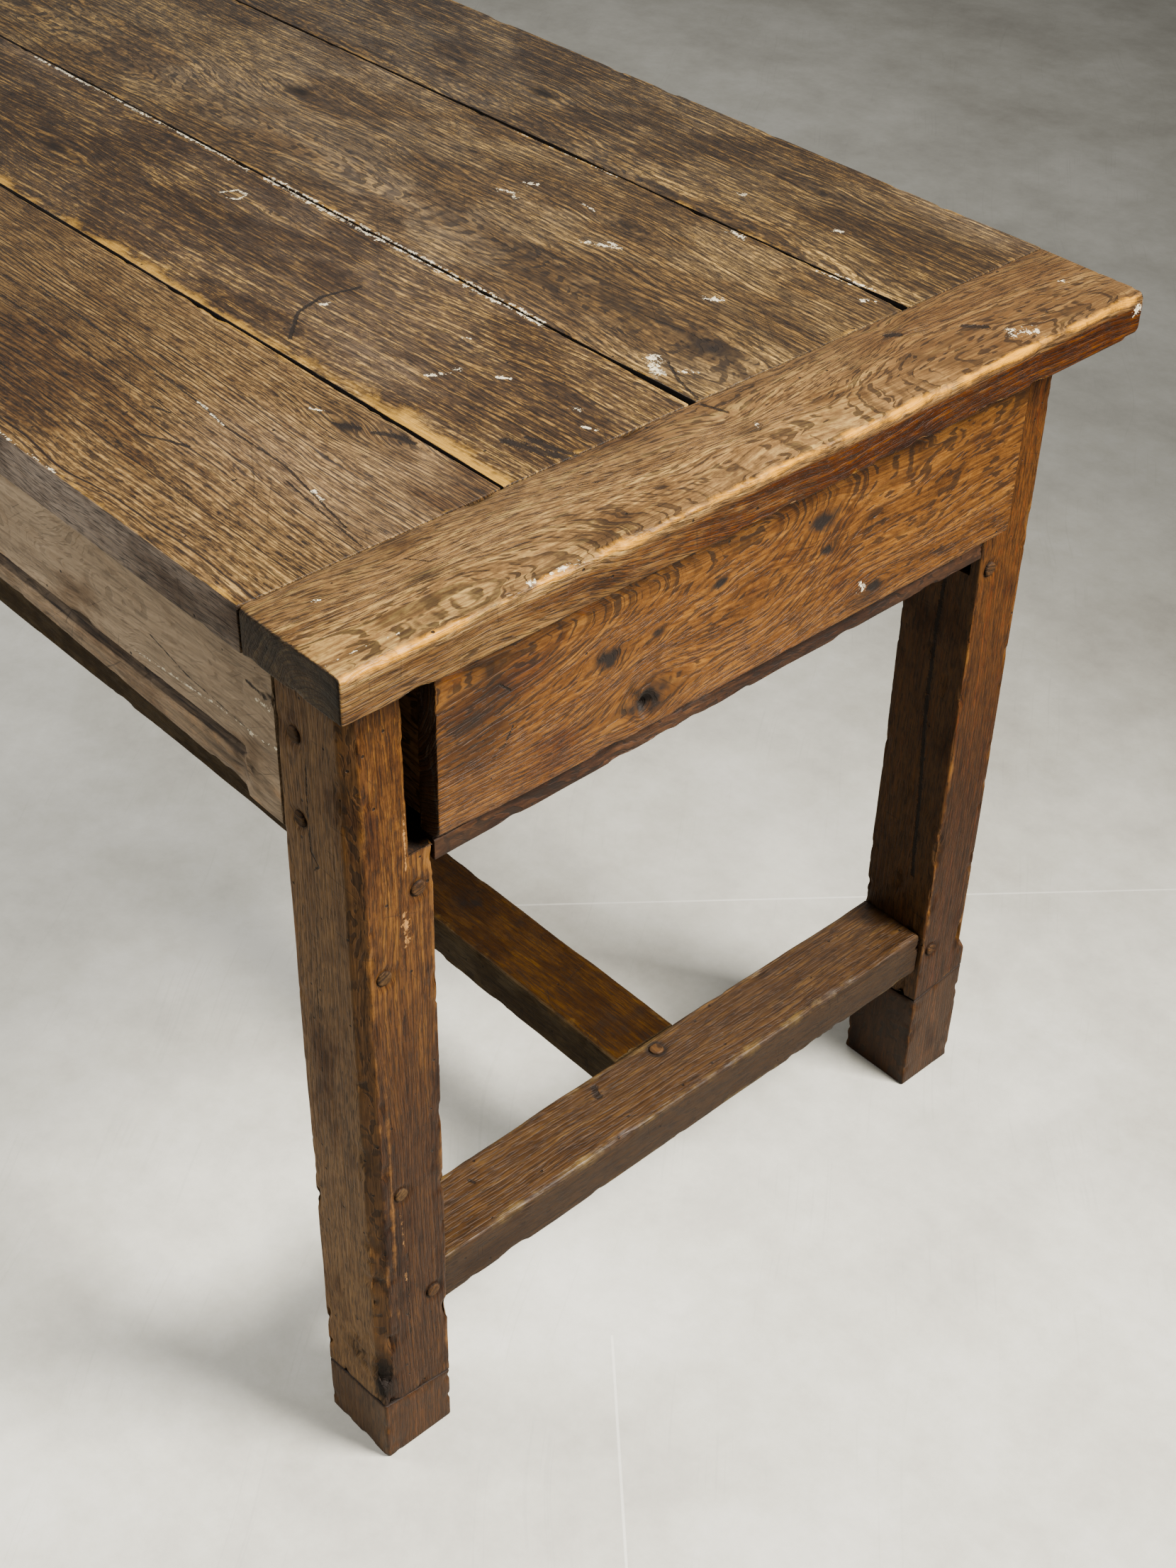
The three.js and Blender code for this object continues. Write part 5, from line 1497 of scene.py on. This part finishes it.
LONG_HALF = stretcher_low[0] - SEAT
long_top = box("long_stretcher")[1][2]
LONG_OAK = oak("oak long stretcher", "x up", (0.4, 0, 0.16), 53, **{
    **STRETCHER_COAT, "middle": (32, 17, 2), "light": (46, 28, 2), "grey": (53, 44, 27), "rub": (62, 44, 16),
    "stain_size": 0.05, "stain_level": 0.5, "stain_share": 0.45, "gloss": 0.03})
straight_board(
    "long_stretcher", "x", {"x": (-LONG_HALF, LONG_HALF)}, 4.4, (3, 3, 6, 6), (20, 18, 26, 18), LONG_OAK,
    53, rubbed=0.35, sides=(0.8, 0.3), wave=1.8, bite=2.4,
    spots=[((0.67, 0.004, long_top), (0.02, 0.02, 0.01), 0.85),
           ((0.72, 0.02, long_top), (0.03, 0.012, 0.01), 0.6),
           ((0.86, 0.0, long_top), (0.02, 0.04, 0.012), 0.55),
           ((0.3, 0.0, long_top), (0.04, 0.02, 0.01), 0.6)])

RAIL_COAT = dict(
    light=(67, 41, 18), middle=(41, 22, 9), dark=(26, 14, 6), grey=(45, 32, 18), grime=(140, 118, 100),
    rub=(94, 55, 23), stain_level=0.52, roughness=0.6, gloss=0.1)
RAIL_OAK = oak("oak rail", "y side", (OUTER_X, 0, 0.566), 61, **RAIL_COAT)
# tops paints shade on the rail's top, under the drawer front.
straight_board(
    "drawer_rail", "y", {"y": LEG_GAP}, 2.6, (2, 2.2, 3.4, 1), (26, 8, 26, 8), RAIL_OAK, 61,
    rubbed=0.25, sides=(0.2, 0.25), tops=0.6, wave=1.0, bite=2.6,
    spots=[((0.96, 0.2, 0.574), (0.02, 0.05, 0.01), 0.9)])
FAR_APRON_OAK = oak("oak far apron", "y side", middle(*box("far_end_apron")), 62,
                    **{**APRON_COAT, "slope": 0.04})
straight_board(
    "far_end_apron", "y", {"y": LEG_GAP}, 4, (2, 2, 1, 1), (10, 44, 10, 44), FAR_APRON_OAK, 62,
    sides=(0.6, 0.0), rubbed=0.4, bend=0.012)
UNDER_OAK = oak("oak under the top", "x up", (0, 0, 0.6), 63, **RAIL_COAT)
CROSS_OAK = oak("oak cross bearers", "y up", (0, 0, 0.6), 64, **RAIL_COAT)
for seed, node in ((63, "drawer_bearer"), (64, "top_bearer")):
    straight_board(node, "y", {"y": APRON_GAP}, 6, (1.4, 1.4, 1.2, 1.2), (8, 22, 8, 22),
                   CROSS_OAK, seed, sides=(0.5, 0.25), rubbed=0.2)
RUNNER_ENDS = (box("drawer_bearer")[1][0] + SEAT, RAIL_LOW[0] - SEAT)
for seed, kind in ((65, "runner"), (66, "guide")):
    for side in ("left", "right"):
        straight_board(f"drawer_{kind}_{side}", "x", {"x": RUNNER_ENDS}, 6, (1.2, 1.2, 1.2, 1.2),
                       (10, 8, 10, 8), UNDER_OAK, seed, sides=(0.4, 0.2), rubbed=0.3,
                       wave=0.4, bite=0.8)
print("frame boards done,", sum(triangles_made), "triangles so far")

# %% [markdown]
# ## The drawer
#
# The front is the liveliest board: coarse open grain in long arches, a big broken knot with a hole low in
# the middle, smaller knots, and dark stains at its left end, which is bare end grain. Its lower arris is
# rounded where generations of fingers have pulled it open, because it has no handle.

# %% Drawer front
front_low, front_high = box("drawer_front")
FRONT_X = front_high[0]
on_front = face_at("x", FRONT_X)
FRONT_KNOTS = [
    (-0.091, 0.604, 0.042, 0.03, 0.03), (-0.127, 0.654, 0.024, 0.016, 0.014),
    (-0.085, 0.654, 0.014, 0.010, 0.008), (0.066, 0.674, 0.03, 0.017, 0.018),
    (0.072, 0.650, 0.014, 0.008, 0.010), (0.125, 0.598, 0.018, 0.010, 0.010),
    (-0.03, 0.668, 0.014, 0.008, 0.008)]
FRONT_RUBBED = [(-0.20, 0.712, 0.05, 0.01), (0.03, 0.716, 0.04, 0.008), (0.06, 0.697, 0.02, 0.008),
                (-0.14, 0.70, 0.03, 0.006)]
FRONT_ARCHES = [(-0.20, 0.20, 0.022), (0.0, 0.12, 0.02)]
FRONT_STAINS = [((FRONT_X, -0.232, 0.657), (0.03, 0.034, 0.042), 0.62),
                ((FRONT_X, 0.22, 0.70), (0.03, 0.08, 0.04), 0.2),
                ((FRONT_X, -0.10, 0.60), (0.03, 0.05, 0.025), 0.3)]


def front_arris(along):
    """The lower outer arris: 4 mm, growing to 11 mm over the last 60 mm at the left end."""
    return (4.0 + 7.0 * smooth((front_low[1] + 0.06 - along) / 0.06)) * MM


def drawer_front(material, seed):
    section = plain_section(front_low[0], FRONT_X, front_low[2], front_high[2],
                            (1.2 * MM, front_arris, arris_size(1.8 * MM, 0.4, seed), 1.0 * MM))
    steps = (8, 58, 8, 30)
    w = Worn(seed, *swept("y", front_low[1], front_high[1], 2.4 * MM, section, steps, arris=1.8 * MM))
    out, left = w.faces(1, 0, 0), w.faces(0, -1, 0)
    w.wave((0.05, 0.12, 0.04), 0.7)
    w.wave((0.012, 0.05, 0.008), 0.3, 3)
    w.bite((0.01, 0.02, 0.01), 1.3, 5, 0.15)
    rough_end = np.exp(-(w.y - front_low[1]) / (3 * MM))
    w.depth += 1.2 * MM * rough_end * smooth(0.5 + w.noise((0.006, 0.02, 0.005), 6))
    w.grain(0.006, (0.1, 0.16, 0.06), 0.005, (0.2, 0.12, 0.2))
    for row in FRONT_KNOTS:
        core = w.knot((1, 2), *row)
        wide = 1.15 * np.sqrt(core) * smooth(0.75 + 1.1 * w.noise(0.007, 13))
        w.paint("dark", 0.9 * np.maximum(core, wide) * out)
        w.depth += 0.8 * MM * core * out
    big = w.spot((FRONT_X, -0.094, 0.607), (0.02, 0.019, 0.022)) * out
    w.depth += 2.6 * MM * big * smooth(0.35 + w.noise(0.006, 8))
    hole = w.spot((FRONT_X, -0.0925, 0.600), (0.01, 0.005, 0.009)) * out
    w.depth += 6 * MM * hole
    blotch = w.spot((FRONT_X, -0.232, 0.665), (0.03, 0.035, 0.038)) * out
    low_knot = w.spot((FRONT_X, 0.118, 0.592), (0.02, 0.03, 0.012)) * out
    for dark in (0.85 * big * smooth(0.4 + w.noise(0.008, 9)), hole,
                 0.62 * blotch * smooth(0.55 + 1.2 * w.noise((0.02, 0.03, 0.012), 10)),
                 0.5 * left, 0.55 * low_knot):
        w.paint("dark", dark)
    edge = np.exp(-(w.z - front_low[2]) / (5 * MM)) * out
    rubbed = np.maximum(w.near * 0.5, 0.55 * edge) * (0.7 + 0.5 * w.noise((0.03, 0.05, 0.03), 40))
    w.paint("wear", rubbed * (1 - left))
    w.paint("wear", 0.6 * (w.spot((FRONT_X, -0.252, 0.70), (0.02, 0.016, 0.02)) * out))
    for y, z, long, tall in FRONT_RUBBED:
        w.paint("wear", 0.6 * w.spot((FRONT_X, y, z), (0.02, long, tall)) * out)
    w.paint("grey", 0.5 * w.faces(-1, 0, 0))
    for start, reach, height in FRONT_ARCHES:
        w.paints["rise"] += height * smooth((w.y - start) / reach)
    w.paint("stain", w.stains(FRONT_STAINS, 0.02))
    return w.finish("drawer_front", material, "drawer")


FRONT_COAT = dict(
    light=(93, 61, 21), middle=(66, 39, 10), dark=(23, 9, 2), grey=(78, 55, 23), grime=(160, 130, 104),
    rub=(96, 52, 6), ring_width=0.0032, late=0.6, fibre_share=0.45, fleck_share=0.32, streak_share=0.2,
    deep=0.045, aside=-0.03, slope=0.02, line_share=0.64, whole=0.95, stain_level=0.6, fine_share=0.3,
    worm_level=0.93, scratch_share=0.25, roughness=0.46, gloss=0.1)
front_cracks = strokes(on_front, (1.2, (-213, 628), (-206, 640)), (1.2, (-216, 676), (-208, 668)))
front_smears = strokes(on_front, (1.6, (-95.5, 594.5), (-92.5, 593)), (3.0, (111, 607), (113, 601)))
FRONT_OAK = oak("oak drawer front", "y side", middle(front_low, front_high), 71, front_cracks, front_smears,
                **FRONT_COAT)
drawer_front(FRONT_OAK, 71)
print("the drawer's front has", len(FRONT_KNOTS), "knots")

# %% [markdown]
# ### The drawer's own boards
#
# Two sides, a back and two bottom boards, dry and pale, ride with the front on the drawer's body. The last
# two numbers of a row are the depth of the bites out of its arrises, in millimetres, and how rubbed it is.

# %% Drawer boards
DRAWER_COAT = dict(
    light=(145, 113, 71), middle=(120, 89, 53), dark=(78, 53, 30), grey=(114, 95, 67), grime=(180, 160, 136),
    rub=(157, 127, 80), stain_level=0.6, stain_share=0.4, fine_share=0.25, scratch_share=0.2, worm_level=0.88,
    roughness=0.68, gloss=0.15, relief=0.25 * MM)
SIDE_OAK = oak("oak drawer sides", "x side", (0.7, 0, 0.65), 72, **DRAWER_COAT)
BACK_OAK = oak("oak drawer back", "y side", (0.48, 0, 0.65), 73, **DRAWER_COAT)
BOTTOM_OAK = oak("oak drawer bottom", "x up", (0.7, 0, 0.588), 74, **DRAWER_COAT)
TO_FRONT = (-1, front_low[0] - 0.1 * MM)
SIDE_GAP = (-box("drawer_side_right")[0][1], box("drawer_side_right")[0][1])
BOTTOM_WITHIN = {"x": TO_FRONT, "y": SIDE_GAP}
DRAWER_BOARDS = (
    ("side_left side_right", "x", {"x": TO_FRONT}, 5, (1.2, 1.2, 2, 2), (6, 30, 6, 30), SIDE_OAK, 72,
     0.8, 0.4),
    ("back", "y", {"y": SIDE_GAP}, 5, (1, 1, 1.4, 1.4), (6, 26, 6, 26), BACK_OAK, 73, 0.7, 0.3),
    ("bottom_left", "x", BOTTOM_WITHIN, 6, (0.6, 0.6, 0.8, 0.8), (24, 3, 44, 3), BOTTOM_OAK, 74, 0.5, 0.2),
    ("bottom_right", "x", BOTTOM_WITHIN, 6, (0.6, 0.6, 0.8, 0.8), (24, 3, 44, 3), BOTTOM_OAK, 75, 0.5, 0.2),
)
for names, axis, within, spacing, radii, steps, material, seed, bite, rubbed in DRAWER_BOARDS:
    for name in names.split():
        straight_board("drawer_" + name, axis, within, spacing, radii, steps, material, seed,
                       "drawer", wave=0.4, bite=bite, rubbed=rubbed, sides=(0.2, 0.0), under=0.2)
print("drawer done,", sum(triangles_made), "triangles so far")

# %% [markdown]
# ## The pegs
#
# The pegs were riven and whittled, not turned: each is an uneven many-sided rod with a soft dome, standing
# a little proud. The ring is a circle whose radius wobbles, different for every peg.

# %% Pegs
PEG_SIDES = 20


def peg_section(centre, radius, seed):
    """A circle with a radius that wobbles by a tenth, alike at every station."""
    turn = np.arange(PEG_SIDES) / PEG_SIDES * 2 * math.pi
    direction = np.stack([np.cos(turn), np.sin(turn)], 1)
    spots = np.concatenate([direction * 1.4, np.full((PEG_SIDES, 1), seed)], 1)
    wobble = 0.95 + 0.05 * noise(spots, 1.0, seed)

    def section(along):
        ring = np.asarray(centre) + direction * (radius * wobble)[:, None]
        return np.broadcast_to(ring, (len(along),) + ring.shape), np.full((len(along), PEG_SIDES), 0.5 * MM)
    return section


PEG_OAK = oak("oak pegs", "x up", (0, 0, 0), 81, light=(59, 36, 13), middle=(38, 22, 7), dark=(29, 15, 7),
              grey=(60, 43, 23), rub=(84, 53, 22), worm_level=0.95, stain_level=0.56, scratch_share=0.2,
              roughness=0.6, gloss=0.06)
for seed, node in enumerate(sorted(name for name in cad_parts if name.startswith("peg_"))):
    low, high = box(node)
    run = int(np.argmax(high - low))
    axis = "xyz"[run]
    _, across, deep = AXES[axis]
    centre = middle(low, high)
    section = peg_section((centre[across], centre[deep]), (high - low)[across] / 2 - 0.1 * MM, seed)
    on_long_side = node.startswith("peg_apron") or node.startswith("peg_plug")
    points_up = centre[run] > 0 or axis == "z"
    drawn_in = (1.2 if on_long_side else 0.5) * MM
    if points_up:
        high[run] -= drawn_in
    else:
        low[run] += drawn_in
    w = Worn(seed, *swept(axis, low[run], high[run], 2 * MM, section, [1] * PEG_SIDES, arris=2.2 * MM))
    from_end = np.abs(w.place[..., run] - (high[run] if points_up else low[run]))
    w.wave(0.006, 0.5, 200)
    w.depth *= np.exp(-from_end / (3 * MM))
    speckled = (0.9 if axis == "z" else 0.3) * smooth(w.noise(0.006, 300))
    w.paint("dark", 0.55 * smooth(from_end / (1.6 * MM)) + speckled)
    w.paint("wear", 0.3 * np.exp(-from_end / MM) * smooth(0.3 + w.noise(0.005, 400)))
    w.paint("grey", np.exp(-from_end / (3 * MM)) * (0.95 if on_long_side else 0.3))
    w.finish(node, PEG_OAK)
print("pegs driven,", len(triangles_made), "pieces,", sum(triangles_made), "triangles in all")

# %% [markdown]
# ## Floor and light
#
# A pale plain floor and soft studio light. The key is a soft panel off the drawer end, to the right of the
# table, whose beam pools round the near leg's foot: it warms the end faces, makes the rubbed arris of the
# breadboard shine and throws the leg's shadow to the left. A weaker panel lights the long side, and a very
# weak one the floor behind. A bright even sky does the rest, as in a studio with white walls.

# %% Floor and light
FLOOR_SIZE = 9.0
FLOOR_SPACING = 0.25
FLOOR_TONES = ((0.34, (118, 115, 106)), (0.5, (133, 131, 122)), (0.64, (145, 143, 135)))
SLAB_JOINTS = (((0.50, 0.1, 0.0), (1.2, 0.96, 0.0)), ((0.99, -0.12, 0.0), (1.3, -0.38, 0.0)))


def floor_mesh():
    """A flat grid of points, even in both directions."""
    count = int(2 * FLOOR_SIZE / FLOOR_SPACING) + 1
    line = np.linspace(-FLOOR_SIZE, FLOOR_SIZE, count)
    x, y = np.meshgrid(line, line, indexing="ij")
    points = np.stack([x, y, np.zeros_like(x)], axis=-1).reshape(-1, 3)
    number = np.arange(count * count).reshape(count, count)
    faces = np.stack([number[:-1, :-1], number[1:, :-1], number[1:, 1:], number[:-1, 1:]], -1).reshape(-1, 4)
    mesh = bpy.data.meshes.new("studio_floor")
    mesh.from_pydata(points.tolist(), [], faces.tolist())
    return mesh


floor = bpy.data.objects.new("studio_floor", floor_mesh())
bpy.context.scene.collection.objects.link(floor)
floor_material = bpy.data.materials.new("pale floor")
floor_material.use_nodes = True
bench = Bench(floor_material.node_tree)
here = bench.add("ShaderNodeTexCoord").outputs["Object"]
cloud = bench.noise(bench.scaled(here, 3.4), detail=9, rough=0.76)
tone = bench.ramp(cloud, [(position, colour(*value)) for position, value in FLOOR_TONES])
scuffs = bench.group(SCRATCH, {"Place": bench.scaled(here, 0.45), "Turn": 0.9, "Level": 0.62, "Seed": 5.0})
tone = bench.mix(bench.times(scuffs["Mask"], 0.14), tone, colour(98, 96, 89))
for start, end in SLAB_JOINTS:
    joint = bench.group(STROKE, {"Place": here, "Start": start, "End": end, "Width": 0.0014})
    tone = bench.mix(bench.times(joint["Mask"], 0.5), tone, colour(168, 166, 158))
floor_shader = floor_material.node_tree.nodes["Principled BSDF"]
bench.feed(floor_shader.inputs["Base Color"], tone)
floor_shader.inputs["Roughness"].default_value = 0.7
floor.data.materials.append(floor_material)


def panel(name, place, target, size, watts, tint, spread):
    """A square soft panel that looks at the target, with a grid that narrows its beam to the spread."""
    data = bpy.data.lights.new(name, "AREA")
    data.spread = math.radians(spread)
    data.energy = watts
    data.size = size
    data.color = tint
    light = bpy.data.objects.new(name, data)
    turn = (Vector(target) - Vector(place)).to_track_quat("-Z", "Y")
    light.matrix_world = Matrix.Translation(Vector(place)) @ turn.to_matrix().to_4x4()
    bpy.context.scene.collection.objects.link(light)
    return light


for row in (("key panel", (2.56, 0.76, 2.3), (0.96, -0.28, 0.0), 1.0, 92, (1.0, 0.965, 0.9), 58),
            ("near panel", (-1.3, -1.8, 2.2), (-0.25, -0.85, 0.15), 1.2, 60, (1.0, 0.99, 0.97), 72),
            ("far panel", (-1.4, 1.9, 2.4), (-0.6, 0.9, 0.0), 1.2, 13, (1.0, 0.99, 0.97), 80)):
    panel(*row)
world = bpy.data.worlds.new("studio")
world.use_nodes = True
sky = world.node_tree.nodes["Background"].inputs
sky["Color"].default_value = (1.0, 0.98, 0.94, 1.0)
sky["Strength"].default_value = 0.5
bpy.context.scene.world = world
print("three panels and a soft sky")
